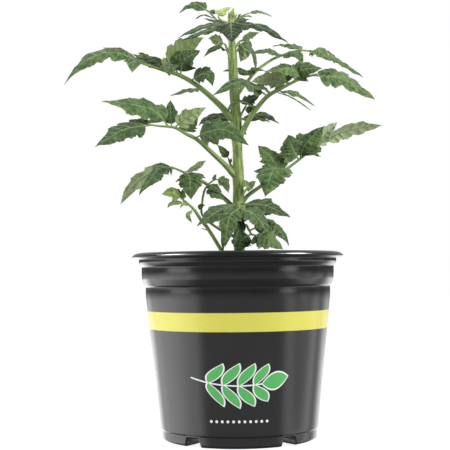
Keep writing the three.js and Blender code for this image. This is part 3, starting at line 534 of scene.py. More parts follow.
def tube_rings(centres, forward, radii, sides, rib=0.0, ribs=5, twist=0.0):
    """Rings round a path: at each step a circle of the step's radius, square to the path, swollen and
    pinched by the share rib in ribs waves round the circle, which turn by twist along the path. The
    circle starts square to the axis of the room that the path runs along least, so it never turns over."""
    axis = np.eye(3)[np.argmin(np.abs(forward).max(axis=0))]
    right = unit(np.cross(axis, forward))
    up = np.cross(forward, right)
    angles = circle(sides)
    turn = np.linspace(0, twist, len(centres))[:, None]
    reach = radii[:, None] * (1 + rib * np.cos(ribs * angles + turn))
    across = right[:, None] * np.cos(angles)[:, None] + up[:, None] * np.sin(angles)[:, None]
    return centres[:, None] + across * reach[..., None]


def tube_pattern(centres, sides):
    """A pattern for a tube: how far round, 0 to 1, and how far along, in centimetres."""
    along = np.concatenate([[0], np.cumsum(steps(centres))]) * 100
    return joined(np.abs(np.linspace(-1, 1, sides, endpoint=False)), along[:, None])


def add_hairs(skin, draw, rings, count, length, finish):
    """Short straight hairs on a tube: each is a slim three-sided spike that stands on a random point of the
    rings' skin, leans a little at random and points away from the tube's middle."""
    row = draw.uniform(0, len(rings) - 1.001, count)
    side = draw.integers(0, rings.shape[1], count)
    low = row.astype(int)
    share = (row - low)[:, None]
    foot = rings[low, side] * (1 - share) + rings[low + 1, side] * share
    middles = rings.mean(axis=1)
    out = unit(foot - middles[low] * (1 - share) - middles[low + 1] * share)
    along = unit(middles[low + 1] - middles[low])
    around = np.cross(out, along)
    size = length * draw.uniform(0.5, 1.25, count)[:, None]
    tip = foot + size * unit(out + draw.normal(0, HAIR_LEAN, (count, 3)))
    corners = [foot + HAIR_RADIUS * (along * math.cos(turn) + around * math.sin(turn) - out)
               for turn in (0, 2.09, 4.19)]
    skin.add_bodies(np.stack([*corners, tip], axis=1), HAIR_FACES, finish)


def add_hairy_tube(skin, draw, path, sides, hairs, hair_length, finishes, tone=0.5, **ribbing):
    """A tube along a path, which is positions, directions and radii, and the hairs on it. It has two
    finishes, the tube's and the hairs'."""
    centres, forward, radii = path
    rings = tube_rings(centres, forward, radii, sides, **ribbing)
    skin.add_tube(rings, tube_pattern(centres, sides), finishes[0], tone)
    add_hairs(skin, draw, rings, int(hairs), hair_length, finishes[1])


def fullness(share):
    """Half the width of a blade as a share of its widest: round at the foot, long at the tip."""
    widest = BLADE_FOOT_POWER / (BLADE_FOOT_POWER + BLADE_TIP_POWER)
    most = widest ** BLADE_FOOT_POWER * (1 - widest) ** BLADE_TIP_POWER
    share = np.clip(share, 0, 1)
    return share ** BLADE_FOOT_POWER * (1 - share) ** BLADE_TIP_POWER / most


def toothed(edge, teeth):
    """How much of its full width a blade keeps at a place on its edge: all of it at each tooth's point,
    a share cut away at the notch behind it, and a round lobe that grows back to the next point."""
    places, kept = [0.0], [1.0]
    for point, notch, cut in teeth:
        places += [point, notch]
        kept += [1.0, 1 - cut]
    places, kept = np.array(places + [1.0]), np.array(kept + [1.0])
    span = np.clip(np.searchsorted(places, edge, side="right") - 1, 0, len(places) - 2)
    along = (edge - places[span]) / (places[span + 1] - places[span])
    along = np.where(kept[span + 1] > kept[span], 1 - (1 - along) ** 1.7, along)
    return kept[span] + (kept[span + 1] - kept[span]) * along


def across_blade(facing, forward):
    """The direction to a blade's side, square to the way it looks and to its midrib, and the way up."""
    side = unit(np.cross(np.asarray(facing, float), forward))
    return side, np.cross(forward, side)


def blade_surface(curve, width, facing, draw, vein_pairs, rows, columns, teeth):
    """One blade's upper face as a grid of row by column, with the vein pattern on it and the way up. A
    column is a share of the half width, from -1 at one edge through 0 at the midrib to 1 at the other. A
    row is a side vein: it leaves the midrib, sweeps forward and meets the edge further out, where the
    blade is as wide as fullness and the teeth say. Both halves fold down from the midrib, the tissue
    swells between the side veins, and the edge waves up and down. The waves of the two halves start at
    phases of their own."""
    around_teeth = [place for point, notch, cut in teeth
                    for place in (point - 0.01, point, point + 0.01, notch)]
    edge = np.unique(np.concatenate([np.linspace(0, 1, rows), around_teeth]))[:, None]
    across = np.linspace(-1, 1, columns)[None]
    out = np.abs(across)
    taper = np.sqrt(4 * edge * (1 - edge))
    size = width * MM
    foot = edge - min(VEIN_SWEEP * size / (2 * curve.length()), 0.24) * fullness(edge) * taper
    phases = draw.uniform(0, 2 * np.pi, (4, 2, 1, 1))
    drift, slow_wave, fast_wave, fine_ripple = np.where(across < 0, phases[:, 0], phases[:, 1])
    ripple = np.cos(2 * np.pi * RIPPLES * edge + 1.6 * np.sin(8 * edge + fine_ripple))
    kept = toothed(edge, teeth) * (1 - RIPPLE_DEPTH * (0.5 + 0.5 * ripple) * taper)
    wander = 0.012 * np.sin(3 * np.pi * edge + drift) * taper
    tip = np.clip(edge + TOOTH_HOOK * (kept - 1) * taper + wander, 0, 1)
    half = np.maximum(fullness(tip) * kept * size / 2, np.where(edge < 0.5, 0.25, 0.08) * MM)
    places = STALK_SHARE + (1 - STALK_SHARE) * (foot + (tip - foot) * out ** 1.4)
    middle, forward = curve.at(places * curve.last)
    side, up = across_blade(facing, forward)
    offset = across * half
    vein = foot * vein_pairs + 0.22 * np.sin(9 * edge + fast_wave)
    quilt = (0.5 - 0.5 * np.cos(2 * np.pi * vein)) * (4 * out * (1 - out)) ** 0.6
    quilt = quilt * (0.7 + 0.45 * np.sin(17 * edge + 5 * across + phases[0, 1]))
    wave = np.sin(3.2 * np.pi * edge + slow_wave) + 0.5 * np.sin(7.4 * np.pi * edge + fast_wave)
    lift = (QUILT * min(size, QUILT_SIZE) * quilt * taper + RUFFLE * size * wave * out ** 2.5 * taper
            - np.abs(offset) * math.sin(BLADE_FOLD) - 0.05 * half * out ** 4
            - MIDRIB_GROOVE * np.exp(-(offset / (0.7 * MM)) ** 2))
    top = middle + side * (offset * math.cos(BLADE_FOLD))[..., None] + up * lift[..., None]
    return top, joined(vein, across), up


def add_leaflet(skin, draw, root, width, facing, points, tone):
    """One leaflet: a blade of upper and lower face that meet at the edge, and the rib under it, which
    starts as the leaflet's own short stalk inside the leaf's stalk."""
    curve = Curve(np.vstack([root, np.asarray(points, float) * MM]))
    grid = next(grid for least, *grid in BLADES if width >= least)
    top, pattern, up = blade_surface(curve, width, facing, draw, *grid)
    columns = top.shape[1]
    depth = BLADE_THICKNESS * (1 - np.linspace(-1, 1, columns) ** 6)
    rings = np.concatenate([top, (top - up * depth[:, None])[:, -2:0:-1]], axis=1)
    patterns = np.concatenate([pattern, pattern[:, -2:0:-1]], axis=1)
    place = np.arange(2 * columns - 2)
    crease = place % (columns - 1) == 0
    skin.add_tube(rings, patterns, np.where(place < columns - 1, UPPER, UNDER), tone, crease)
    add_rib(skin, draw, curve, width, facing, tone)


def add_rib(skin, draw, curve, width, facing, tone):
    """A leaflet's rib: a tapering tube that leaves the stalk as the leaflet's own short stalk and then sinks
    under the blade, out to most of its length, with a few hairs."""
    shares = np.linspace(0, STALK_SHARE + RIB_SHARE * (1 - STALK_SHARE), 26)
    centres, forward = curve.at(shares * curve.last)
    thick = min(0.5, 0.16 + 0.026 * width) * MM
    radii = np.interp(shares, [0, STALK_SHARE, 1], [thick, 0.8 * thick, 0.12 * MM])
    sink = smooth(STALK_SHARE * 0.6, STALK_SHARE * 1.8, shares) * (radii + 0.18 * MM)
    centres = centres - across_blade(facing, forward)[1] * sink[:, None]
    hairs = curve.length() / MM * RIB_HAIRS_PER_MM
    add_hairy_tube(skin, draw, (centres, forward, radii), 8, hairs, RIB_HAIR, (RIB, DOWN), tone)


def stalk_path(points, count):
    """The curve of a stem or stalk, and at even places on it the positions, directions and radii."""
    points = np.asarray(points, float) * MM
    curve = Curve(points[:, :3])
    places = np.linspace(0, curve.last, count)
    return curve, places, *curve.at(places), np.interp(places, np.arange(len(points)), points[:, 3])


def add_stalk(skin, draw, stalk, tone):
    """A leaf's stalk: a tube through its points that flares where it leaves the stem, with soft hairs."""
    curve, places, centres, forward, radii = stalk_path(stalk, 9 * len(stalk) - 8)
    radii = STALK_GIRTH * radii * (1 + FLARE * np.exp(-((places - FLARE_PLACE) / FLARE_REACH) ** 2))
    hairs = steps(centres).sum() / MM * STALK_HAIRS_PER_MM
    add_hairy_tube(skin, draw, (centres, forward, radii), 16, hairs, STALK_HAIR, (RIB, DOWN), tone,
                   rib=0.05, ribs=4)
    return curve


def make_frond(number, name, finishes):
    """One leaf or shoot, with its stalk, its leaflets and their hairs in one piece."""
    draw = np.random.default_rng(FIRST_FROND_SEED + number)
    tone, stalk, leaflets = FRONDS[name]
    skin = Skin()
    curve = add_stalk(skin, draw, stalk, tone)
    for place, width, facing, *points in leaflets:
        own_tone = np.clip(tone + draw.normal(0, 0.09), 0, 1)
        add_leaflet(skin, draw, curve.at(place)[0], width, facing, points, own_tone)
    kind = "young_leaf" if name in YOUNG else "leaf"
    return skin.build(name + "_foliage", finishes[kind], name)


def make_stem(finishes):
    """The main stem: a ribbed tube that swells where leaves leave it, with dense hairs."""
    draw = np.random.default_rng(STEM_SEED)
    curve, places, centres, forward, radii = stalk_path(STEM, 220)
    joints = np.array([stalk[0][2] for tone, stalk, leaflets in FRONDS.values()]) * MM + JOINT_RISE
    swell = 1 + JOINT_SWELL * np.exp(-((centres[:, 2:] - joints) / JOINT_REACH) ** 2)
    skin = Skin()
    add_hairy_tube(skin, draw, (centres, forward, radii * swell.prod(axis=1)), 40, STEM_HAIRS, STEM_HAIR,
                   (0, 1), rib=0.035, ribs=5, twist=1.2)
    return skin.build("main_stem", finishes, "stem")


def rounded(points, rounding=0.5 * MM):
    """An outline with each inner corner replaced by a short curve: a quadratic from a point just before the
    corner to a point just after it, pulled to the corner itself."""
    points = np.asarray(points, float)
    result = [points[:1]]
    t = np.linspace(0, 1, 5)[:, None]
    for before, corner, after in zip(points, points[1:], points[2:]):
        reach = min(rounding, np.linalg.norm(corner - before) * 0.45, np.linalg.norm(after - corner) * 0.45)
        start = corner + unit(before - corner) * reach
        end = corner + unit(after - corner) * reach
        result.append((1 - t) ** 2 * start + 2 * t * (1 - t) * corner + t ** 2 * end)
    return np.vstack([*result, points[-1:]])


def arc(radius, height, reach, rise, degrees):
    """Points on an ellipse round a centre, at angles from straight outwards."""
    turns = np.radians(degrees)
    return joined(radius + reach * np.cos(turns), height + rise * np.sin(turns))


def filled(points, step):
    """An outline with points added so that none are further apart than step."""
    result = [points[:1]]
    for start, end in zip(points, points[1:]):
        count = max(1, math.ceil(np.linalg.norm(end - start) / step))
        result.append(start + (end - start) * (np.arange(1, count + 1) / count)[:, None])
    return np.vstack(result)


def wall_radius(height):
    """The radius of the pot's outer wall between its foot line and its lower ledge."""
    share = (height - FOOT_LINE_HEIGHT) / (LOWER_LEDGE_HEIGHT - FOOT_LINE_HEIGHT)
    return FOOT_RADIUS + FOOT_LINE_STEP + share * (LOWER_LEDGE_RADIUS - FOOT_RADIUS - FOOT_LINE_STEP)


def channel_height(x, y):
    """How high the nearest foot channel's roof is over a point: its full height along the channel's
    middle, and down to nothing over its sloped sides and its inner end."""
    best = np.zeros_like(x)
    for turn in CHANNEL_TURNS:
        along = x * math.cos(turn) + y * math.sin(turn)
        beside = np.abs(y * math.cos(turn) - x * math.sin(turn))
        sides = smooth(CHANNEL_HALF_WIDTH + 0.1 * MM, CHANNEL_HALF_WIDTH - CHANNEL_SLOPE, beside)
        ends = smooth(CHANNEL_INNER_RADIUS - 0.5 * MM, CHANNEL_INNER_RADIUS + 0.5 * MM, along)
        best = np.maximum(best, sides * ends * CHANNEL_HEIGHT)
    return best


def pot_angles():
    """Angles round the pot, the same in every fifth: fine over a channel and wider apart between two."""
    near, far = math.radians(9), 2 * math.pi / CHANNELS
    fifth = np.concatenate([np.linspace(-near, near, 44, endpoint=False),
                            np.linspace(near, far - near, 34, endpoint=False)])
    return np.concatenate([turn + fifth for turn in CHANNEL_TURNS])


def drill_drains(shell):
    """Cuts a round drain hole through the pot's floor in the middle of each foot channel."""
    drills = Skin()
    heights = np.array([[-2 * MM], [8 * MM]])
    for turn in CHANNEL_TURNS:
        middle = turned(DRAIN_AT_RADIUS, turn, 0)
        drills.add_tube(middle + turned(DRAIN_RADIUS, circle(32), heights))
    drill = drills.make("drain_drills", shell.data.materials)
    cut = shell.modifiers.new("drains", "BOOLEAN")
    cut.operation = "DIFFERENCE"
    cut.solver = "MANIFOLD"
    cut.object = drill
    drilled = bpy.data.meshes.new_from_object(shell.evaluated_get(bpy.context.evaluated_depsgraph_get()))
    shell.modifiers.clear()
    shell.data = drilled
    bpy.data.objects.remove(drill)


def make_pot(finish):
    """The pot: an outline carried round the upright axis. Under each ledge is an almost upright band, and
    below it the wall bends in, with a slope that grows evenly. The foot is lifted over the five channels,
    by the whole channel at the ground and by nothing at the foot line, and the floor keeps its thickness
    over them."""
    ledges = []
    for radius, height, slope in ((LOWER_LEDGE_RADIUS, LOWER_LEDGE_HEIGHT, LOWER_LEDGE_SLOPE),
                                  (UPPER_LEDGE_RADIUS, UPPER_LEDGE_HEIGHT, UPPER_LEDGE_SLOPE)):
        for below in np.linspace(LEDGE_BEND, 0, 5):
            bend = slope * below ** 2 / (2 * LEDGE_BEND)
            ledges.append((radius + LEDGE_BULGE - bend, height - LEDGE_BAND - below))
        ledges += [(radius, height - LEDGE_RISE), (radius + LEDGE_STEP, height + LEDGE_RISE)]
    outer = rounded([
        (FOOT_RADIUS, 3 * FOOT_ROUNDING),
        (FOOT_RADIUS, FOOT_LINE_HEIGHT - LEDGE_RISE),
        (wall_radius(FOOT_LINE_HEIGHT), FOOT_LINE_HEIGHT),
        *ledges,
        (COLLAR_RADIUS, COLLAR_HEIGHT - COLLAR_RISE),
        (COLLAR_RADIUS - 0.05 * MM, COLLAR_HEIGHT),
        (LIP_RADIUS - LIP_UNDERSIDE, POT_HEIGHT - LIP_DROP - LIP_UNDERSIDE),
        (LIP_RADIUS, POT_HEIGHT - LIP_DROP),
    ])
    foot = arc(FOOT_RADIUS - FOOT_ROUNDING, FOOT_ROUNDING, FOOT_ROUNDING, FOOT_ROUNDING,
               np.linspace(-90, 0, 7))
    lip = arc(LIP_RADIUS - LIP_REACH, POT_HEIGHT - LIP_DROP, LIP_REACH, LIP_DROP, np.linspace(8, 90, 12))
    inner = rounded([
        lip[-1],
        (LIP_RADIUS - LIP_REACH - WALL / 2, POT_HEIGHT - WALL / 2),
        (UPPER_LEDGE_RADIUS + LEDGE_RISE - WALL, UPPER_LEDGE_HEIGHT),
        (LOWER_LEDGE_RADIUS + LEDGE_STEP - WALL, LOWER_LEDGE_HEIGHT),
        (LOWER_LEDGE_RADIUS - WALL, LOWER_LEDGE_HEIGHT - WALL),
        (wall_radius(FOOT_LINE_HEIGHT) - WALL, FOOT_LINE_HEIGHT),
        (FOOT_RADIUS - FOOT_ROUNDING - WALL, WALL),
        (AXIS_HOLE, WALL),
    ])
    outline = filled(np.vstack([(AXIS_HOLE, 0), foot, outer, lip[:-1], inner]), OUTLINE_STEP)
    radii, heights = outline[:, :1], outline[:, 1:]
    rings = turned(radii, pot_angles(), heights)
    over_floor = np.clip(1 - (heights - WALL) / (FOOT_LINE_HEIGHT - WALL), 0, 1)
    rings[..., 2] += channel_height(rings[..., 0], rings[..., 1]) * over_floor
    skin = Skin()
    skin.add_tube(rings)
    shell = skin.build("pot_shell", [finish], "pot")
    drill_drains(shell)
    return shell


def lattice_noise(x, y, size, seed):
    """Smooth random heights from -1 to 1 over a plane: random values at the corners of squares of one
    size, and an even S from corner to corner."""
    lattice = np.random.default_rng(seed).uniform(-1, 1, (64, 64))
    u, v = x / size + 31.7, y / size + 17.3
    column, row = np.floor(u).astype(int), np.floor(v).astype(int)
    across, up = smooth(0, 1, u - column), smooth(0, 1, v - row)
    before, after = column % 64, (column + 1) % 64
    low, high = (lattice[line % 64, before] * (1 - across) + lattice[line % 64, after] * across
                 for line in (row, row + 1))
    return low * (1 - up) + high * up


def on_soil(radii, angles):
    """Points on the soil's top: a low mound that sinks towards the wall, with lumps of several sizes."""
    points = turned(radii, angles, SOIL_HEIGHT - LUMP_BASE_DROP)
    mound = SOIL_MOUND * np.exp(-(radii / (14 * MM)) ** 2)
    drop = SOIL_EDGE_DROP * smooth(38 * MM, SOIL_EDGE_RADIUS, radii)
    lumps = sum(size * LUMP_SHARE * lattice_noise(points[..., 0], points[..., 1], size, seed)
                for seed, size in enumerate(LUMP_SIZES))
    points[..., 2] += mound - drop + lumps
    return points


def make_soil(finish):
    """The soil: a grid of circles with a lumpy top, closed below, and many loose crumbs half sunk in it.
    A crumb is a ball of twenty faces, stretched and dented: its twelve corners are those of three golden
    rectangles, one square to each axis, and three corners near each other make a face."""
    draw = np.random.default_rng(SOIL_SEED)
    angles = circle(220)
    wall_room = WALL + SOIL_GAP
    below = np.array([(SOIL_AXIS_HOLE, FOOT_LINE_HEIGHT),
                      (wall_radius(FOOT_LINE_HEIGHT) - wall_room, FOOT_LINE_HEIGHT),
                      (wall_radius(LOWER_LEDGE_HEIGHT) - wall_room, LOWER_LEDGE_HEIGHT - 2 * WALL),
                      (SOIL_EDGE_RADIUS - 0.2 * MM, SOIL_HEIGHT - 3 * MM)])
    top = on_soil(np.linspace(SOIL_EDGE_RADIUS, SOIL_AXIS_HOLE, 75)[:, None], angles)
    skin = Skin()
    skin.add_tube(np.concatenate([turned(below[:, :1], angles, below[:, 1:]), top]))
    golden = (1 + 5 ** 0.5) / 2
    ball = unit(np.array([np.roll((0, short, long), turn) for turn in (0, 2, 1)
                          for long in (golden, -golden) for short in (1, -1)]))
    near = np.linalg.norm(ball[:, None] - ball, axis=-1) < 1.2
    corners = [trio if np.linalg.det(ball[list(trio)]) > 0 else trio[::-1]
               for trio in combinations(range(12), 3) if near[np.ix_(trio, trio)].all()]
    reach = (SOIL_EDGE_RADIUS - 1.5 * MM) * np.sqrt(draw.uniform(0, 1, CRUMBS))
    centres = on_soil(reach, draw.uniform(0, 2 * np.pi, CRUMBS))
    size = draw.uniform(0.35, 1.3, CRUMBS) ** 1.4 * MM
    stretch = draw.uniform(0.6, 1.3, (CRUMBS, 1, 3))
    shape = ball * draw.uniform(0.75, 1.2, (CRUMBS, 12, 1)) * stretch * size[:, None, None]
    skin.add_bodies(shape + centres[:, None], corners, 0)
    return skin.build("potting_mix", [finish], "soil")


def seen(colour):
    """A colour given by its screen values, 0 to 255, as shares of light: the screen's curve undone."""
    return (*(((value / 255 + 0.055) / 1.055) ** 2.4 for value in colour), 1)


class Value:
    """One output of a finish's nodes. Sums, differences, products and quotients of values and numbers
    add the Math nodes that work them out."""

    def __init__(self, finish, socket):
        self.finish, self.socket = finish, socket

    def maths(self, operation, first, second=0.0):
        """What one Math node makes of two values or numbers."""
        return self.finish.node("ShaderNodeMath", {0: first, 1: second}, operation=operation)

    def __add__(self, other):
        return self.maths("ADD", self, other)

    def __sub__(self, other):
        return self.maths("SUBTRACT", self, other)

    def __rsub__(self, other):
        return self.maths("SUBTRACT", other, self)

    def __mul__(self, other):
        return self.maths("MULTIPLY", self, other)

    def __truediv__(self, other):
        return self.maths("DIVIDE", self, other)

    def __neg__(self):
        return self.maths("MULTIPLY", self, -1)

    __radd__ = __add__
    __rmul__ = __mul__

    def size(self):
        """The value without its sign."""
        return self.maths("ABSOLUTE", self)

    def or_more(self, other):
        """The larger of two values."""
        return self.maths("MAXIMUM", self, other)

    def from_whole(self):
        """How far the value is from the nearest whole number, 0 to 0.5."""
        return self.maths("PINGPONG", self, 0.5)

    def step(self, low, high):
        """0 on low's side, 1 on high's side, and an even S between them. low may be the larger."""
        return self.finish.node("ShaderNodeMapRange", {"Value": self, "From Min": low, "From Max": high},
                                interpolation_type="SMOOTHSTEP")

    def part(self, output):
        """Another output of the same node."""
        return Value(self.finish, self.socket.node.outputs[output])


class Nodes:
    """A tree of shader nodes in the making."""

    def __init__(self, owner):
        owner.use_nodes = True
        self.tree = owner.node_tree

    def feed(self, socket, value):
        """Links a value to a socket, or sets a number or a colour, by its screen values, on it."""
        if isinstance(value, Value):
            self.tree.links.new(value.socket, socket)
        else:
            socket.default_value = seen(value) if socket.type == "RGBA" else value

    def node(self, kind, sockets=None, output=0, **settings):
        """Adds a node: first its settings, and then the numbers, colours or links of its sockets, by name
        or number. Gives one of its outputs."""
        node = self.tree.nodes.new(kind)
        for setting, value in settings.items():
            setattr(node, setting, value)
        for socket, value in (sockets or {}).items():
            self.feed(node.inputs[socket], value)
        return Value(self, node.outputs[output]) if node.outputs else None

    def parts(self, vector):
        """A vector's three numbers, as the X, Y and Z of one node."""
        return self.node("ShaderNodeSeparateXYZ", {0: vector})


class Finish(Nodes):
    """A material in the making. constants go straight onto its shader's sockets."""

    def __init__(self, name, constants):
        self.material = bpy.data.materials.new(name)
        super().__init__(self.material)
        self.shader = self.tree.nodes["Principled BSDF"]
        for socket, value in constants.items():
            self.feed(self.shader.inputs[socket], value)
        self.place = self.node("ShaderNodeTexCoord", output="Object")

    def pattern(self):
        """The two numbers of the piece's own pattern, as the X and Y of one node."""
        return self.parts(self.node("ShaderNodeUVMap", uv_map="pattern"))

    def noise(self, size, detail=3.0, roughness=0.5, distortion=0.0, vector=None):
        """Cloudy noise around 0.5, with lumps of one size in metres, or in the units of a vector."""
        return self.node("ShaderNodeTexNoise", {
            "Vector": vector or self.place, "Scale": 1 / size, "Detail": detail, "Roughness": roughness,
            "Distortion": distortion})

    def cells(self, size, feature="DISTANCE_TO_EDGE"):
        """Cells of one size in metres: how far a point is from its cell's edge, or another feature."""
        return self.node("ShaderNodeTexVoronoi", {"Vector": self.place, "Scale": 1 / size}, feature=feature)

    def ramp(self, share, *stops):
        """A colour that runs through stops, (place, colour)."""
        ramp = self.node("ShaderNodeValToRGB", {0: share})
        elements = ramp.socket.node.color_ramp.elements
        elements.remove(elements[1])
        for number, (place, colour) in enumerate(stops):
            stop = elements.new(place) if number else elements[0]
            stop.position = place
            stop.color = seen(colour)
        return ramp

    def mix(self, share, first, second):
        """The first colour, and the second where share is 1."""
        return self.node("ShaderNodeMix", {0: share, 6: first, 7: second}, output=2, data_type="RGBA")

    def done(self, colour, roughness, height=None, distance=0.0002, strength=1.0):
        """Feeds the shader its colour, its roughness and the relief of a height, and gives the material."""
        self.feed(self.shader.inputs["Base Color"], colour)
        self.feed(self.shader.inputs["Roughness"], roughness)
        if height is not None:
            relief = self.node("ShaderNodeBump",
                               {"Strength": strength, "Distance": distance, "Height": height})
            self.feed(self.shader.inputs["Normal"], relief)
        return self.material


def leaf_pattern(finish, vein_end, net_width, lump):
    """What a blade's two faces share: how far from the midrib a point is, 0 to 1; the leaflet's tone; the
    side veins, which fade towards the edge from vein_end; a net of small veins; and soft patches round 0."""
    pattern = finish.pattern()
    across = pattern.part("Y").size()
    tone = finish.node("ShaderNodeAttribute", output="Fac", attribute_name="tone")
    side_vein = pattern.from_whole().step(0.12, 0.02) * across.step(1.0, vein_end)
    net = finish.cells(1.3 * MM).step(net_width, 0.0)
    return across, tone, side_vein, net, finish.noise(lump) - 0.5


def blade_finish(name, dark, middle, light, vein):
    """A blade's upper face: green that varies from leaflet to leaflet and in soft patches, finer and lighter
    along the veins, with a fine net of small veins and a little lighter at the edge. Painted shade: the
    creases of its fine crinkle are painted darker and the ridges lighter."""
    finish = Finish(name, {"Specular IOR Level": 0.18, "Sheen Weight": 0.2, "Sheen Roughness": 0.35})
    across, tone, side_vein, net, patches = leaf_pattern(finish, 0.6, 0.3, 7 * MM)
    crinkle_and_painted_shade = finish.noise(2.2 * MM, 2.0)
    # painted shade: the crinkle's creases are coloured darker and its ridges lighter, besides the relief it
    # gives
    shade = tone + patches * 0.8 + (crinkle_and_painted_shade - 0.5) * 1.2 + across.step(0.8, 1.0) * 0.2
    colour = finish.ramp(shade, (0.0, dark), (0.5, middle), (1.0, light))
    colour = finish.mix(side_vein * 0.14 + net * 0.05, colour, vein)
    colour = finish.mix(across.step(0.1, 0.03) * 0.35, colour, vein)
    height = crinkle_and_painted_shade * 3.0 - net * 0.15 - side_vein * 0.7
    return finish.done(colour, 0.58 + patches * 0.2 + net * 0.08, height, 0.0005, 0.8)


def underside_finish(name, pale, deep, vein):
    """A blade's lower face: pale and matt, paler where the leaflet's tone is light, with raised veins."""
    finish = Finish(name, {"Specular IOR Level": 0.3})
    across, tone, side_vein, net, patches = leaf_pattern(finish, 0.7, 0.12, 6 * MM)
    colour = finish.mix(tone * 1.4 - 0.3 + patches * 0.6, deep, pale)
    colour = finish.mix(side_vein * 0.4 + net * 0.08, colour, vein)
    return finish.done(colour, 0.65 + patches * 0.2, side_vein + net * 0.1, 0.0002, 0.5)


def stalk_finish(name, green, pale):
    """A stem or stalk: green with pale streaks along it and a finely grained skin."""
    finish = Finish(name, {"Specular IOR Level": 0.35})
    pattern = finish.pattern()
    streak_place = finish.node("ShaderNodeCombineXYZ", {0: pattern * 9.0, 1: pattern.part("Y") * 1.3})
    streaks = finish.noise(1.0, vector=streak_place)
    patches = finish.noise(5 * MM)
    grain = finish.noise(0.35 * MM, 2.0)
    colour = finish.mix(streaks.step(0.35, 0.68) * 0.7 + (patches - 0.5) * 0.7, green, pale)
    return finish.done(colour, 0.45 + grain * 0.2, grain * 0.6 + streaks, 0.0002, 0.6)


def hair_finish(name, colour):
    """Fine hairs: pale, and a little uneven in tone."""
    finish = Finish(name, {"Specular IOR Level": 0.4})
    patches = finish.noise(2 * MM)
    return finish.done(finish.mix(patches, colour, (205, 214, 180)), 0.5 + patches * 0.2)


def soil_finish():
    """Moist peat: nearly black crumbs and brown ones, with threads of fibre."""
    finish = Finish("peat", {"Specular IOR Level": 0.3})
    crumbs = finish.cells(1.6 * MM, "F1")
    tone = finish.parts(crumbs.part("Color"))
    grain = finish.noise(0.5 * MM, 5.0, 0.7)
    fibre = finish.noise(MM / 0.9, 2.0, distortion=2.5)
    colour = finish.ramp(tone * 0.7 + grain * 0.4, (0.15, (24, 17, 13)), (0.5, (52, 38, 28)),
                         (0.8, (84, 62, 44)), (1.0, (120, 94, 66)))
    colour = finish.mix(fibre.step(0.68, 0.74) * 0.7, colour, (140, 108, 72))
    return finish.done(colour, 0.85 + (grain - 0.5) * 0.2, grain - crumbs * 0.6, 0.0006)


def pot_finish():
    """Thin moulded black plastic with a plain printed stripe right round, and on the front a printed
    sprig of simple leaves over a row of dots. Faint flow streaks, fine grain and a few light scuffs."""
    finish = Finish("pot_plastic", {"Specular IOR Level": 0.5})
    point = finish.parts(finish.place)
    height = point.part("Z") * (1 / MM)
    along = point.maths("ARCTAN2", point, -point.part("Y")) * PRINT_RADIUS
    grain = finish.noise(0.25 * MM, 2.0)
    clouds = finish.noise(14 * MM, 4.0)
    drawn_out = finish.node("ShaderNodeCombineXYZ", {0: along * 0.12, 1: height * 1.1})
    scuffs = finish.noise(1.0, 5.0, 0.7, vector=drawn_out).step(0.66, 0.78)
    black = finish.mix(clouds, (13, 13, 14), (20, 21, 21))
    black = finish.mix(scuffs * 0.25, black, (96, 97, 98))
    stripe = height.step(STRIPE_LOW, STRIPE_LOW + 0.3) * height.step(STRIPE_HIGH, STRIPE_HIGH - 0.3)
    yellow = finish.mix(clouds, (172, 168, 68), (167, 163, 62))
    ink, green = sprig(along, height)
    leaf_green = finish.mix(clouds, (58, 134, 66), (72, 148, 80))
    print_colour = finish.mix(green, (190, 192, 190), leaf_green)
    colour = finish.mix(ink, finish.mix(stripe, black, yellow), print_colour)
    printed = stripe + ink
    roughness = 0.18 + (clouds - 0.5) * 0.06 + scuffs * 0.12 + printed * 0.1
    return finish.done(colour, roughness, grain * 0.4 + clouds + printed * 0.15, 0.00015, 0.35)


def sprig(along, height):
    """A lying sprig, in millimetres round the pot and up it: where there is ink, and where the ink is
    green. The leaves stand in pairs along a stem, evenly apart and leaning to its tip; each is as wide as
    an arch that starts on the stem and ends at the leaf's point, and one more leaf ends the stem. A
    white edge follows them all."""
    out = (height - SPRIG_HEIGHT - along * along * 0.006).size()
    share = out / (11 - along * along * 0.008)
    leaned = along - out * 0.75
    pair = share * (1 - share) * 12.5 - (leaned / LEAF_SPACING).from_whole() * LEAF_SPACING
    pair = pair - (leaned + 4).size().step(15.9, 16.1) * 50
    end = (along - 12) / 14
    inside = pair.or_more(end * (1 - end) * 16 - out)
    stem = 0.45 - out - (along + 4).size().step(21.5, 22.5) * 50
    ink = inside.step(-0.75, -0.55).or_more(stem.step(0.0, 0.2))
    beside = (along / 3).from_whole() * 3
    above = height - DOTS_HEIGHT
    dots = (beside * beside + above * above).step(0.64, 0.42) * along.size().step(17.0, 16.4)
    return ink.or_more(dots) * along.size().step(40, 39), inside.step(0.0, 0.2)


def make_floor():
    """A wide pale floor that glows a little, as a light table does. Mirror-like reflections pass it by
    and meet the studio's own lower half, as if the pot stood on a small sheet."""
    finish = Finish("pale_floor", {"Specular IOR Level": 0.1, "Emission Color": (255, 255, 255),
                                   "Emission Strength": 0.88})
    patches = finish.noise(0.4)
    material = finish.done(finish.mix(patches, (250, 250, 250), (246, 246, 247)), 0.8)
    material.cycles.emission_sampling = "NONE"
    disc = Skin()
    disc.add_faces(disc.add_points(turned(3.0, circle(96), 0))[None], 0)
    floor = disc.make("floor", [material])
    floor.visible_glossy = False


def make_softbox(name, lit, azimuth, elevation, distance, width, height, power, mirrored):
    """A soft lamp aimed at the plant. It lights one collection of pieces, or everything."""
    turn, rise = math.radians(azimuth), math.radians(elevation)
    away = np.array([math.sin(turn) * math.cos(rise), -math.cos(turn) * math.cos(rise), math.sin(rise)])
    lamp = bpy.data.lights.new(name, "AREA")
    lamp.shape = "RECTANGLE"
    lamp.size = width
    lamp.size_y = height
    lamp.energy = power
    box = put(name, lamp)
    box.location = away * distance + LAMP_AIM
    box.rotation_euler = (math.pi / 2 - rise, 0, turn)
    box.visible_camera = False
    box.visible_glossy = mirrored
    box.light_linking.receiver_collection = lit


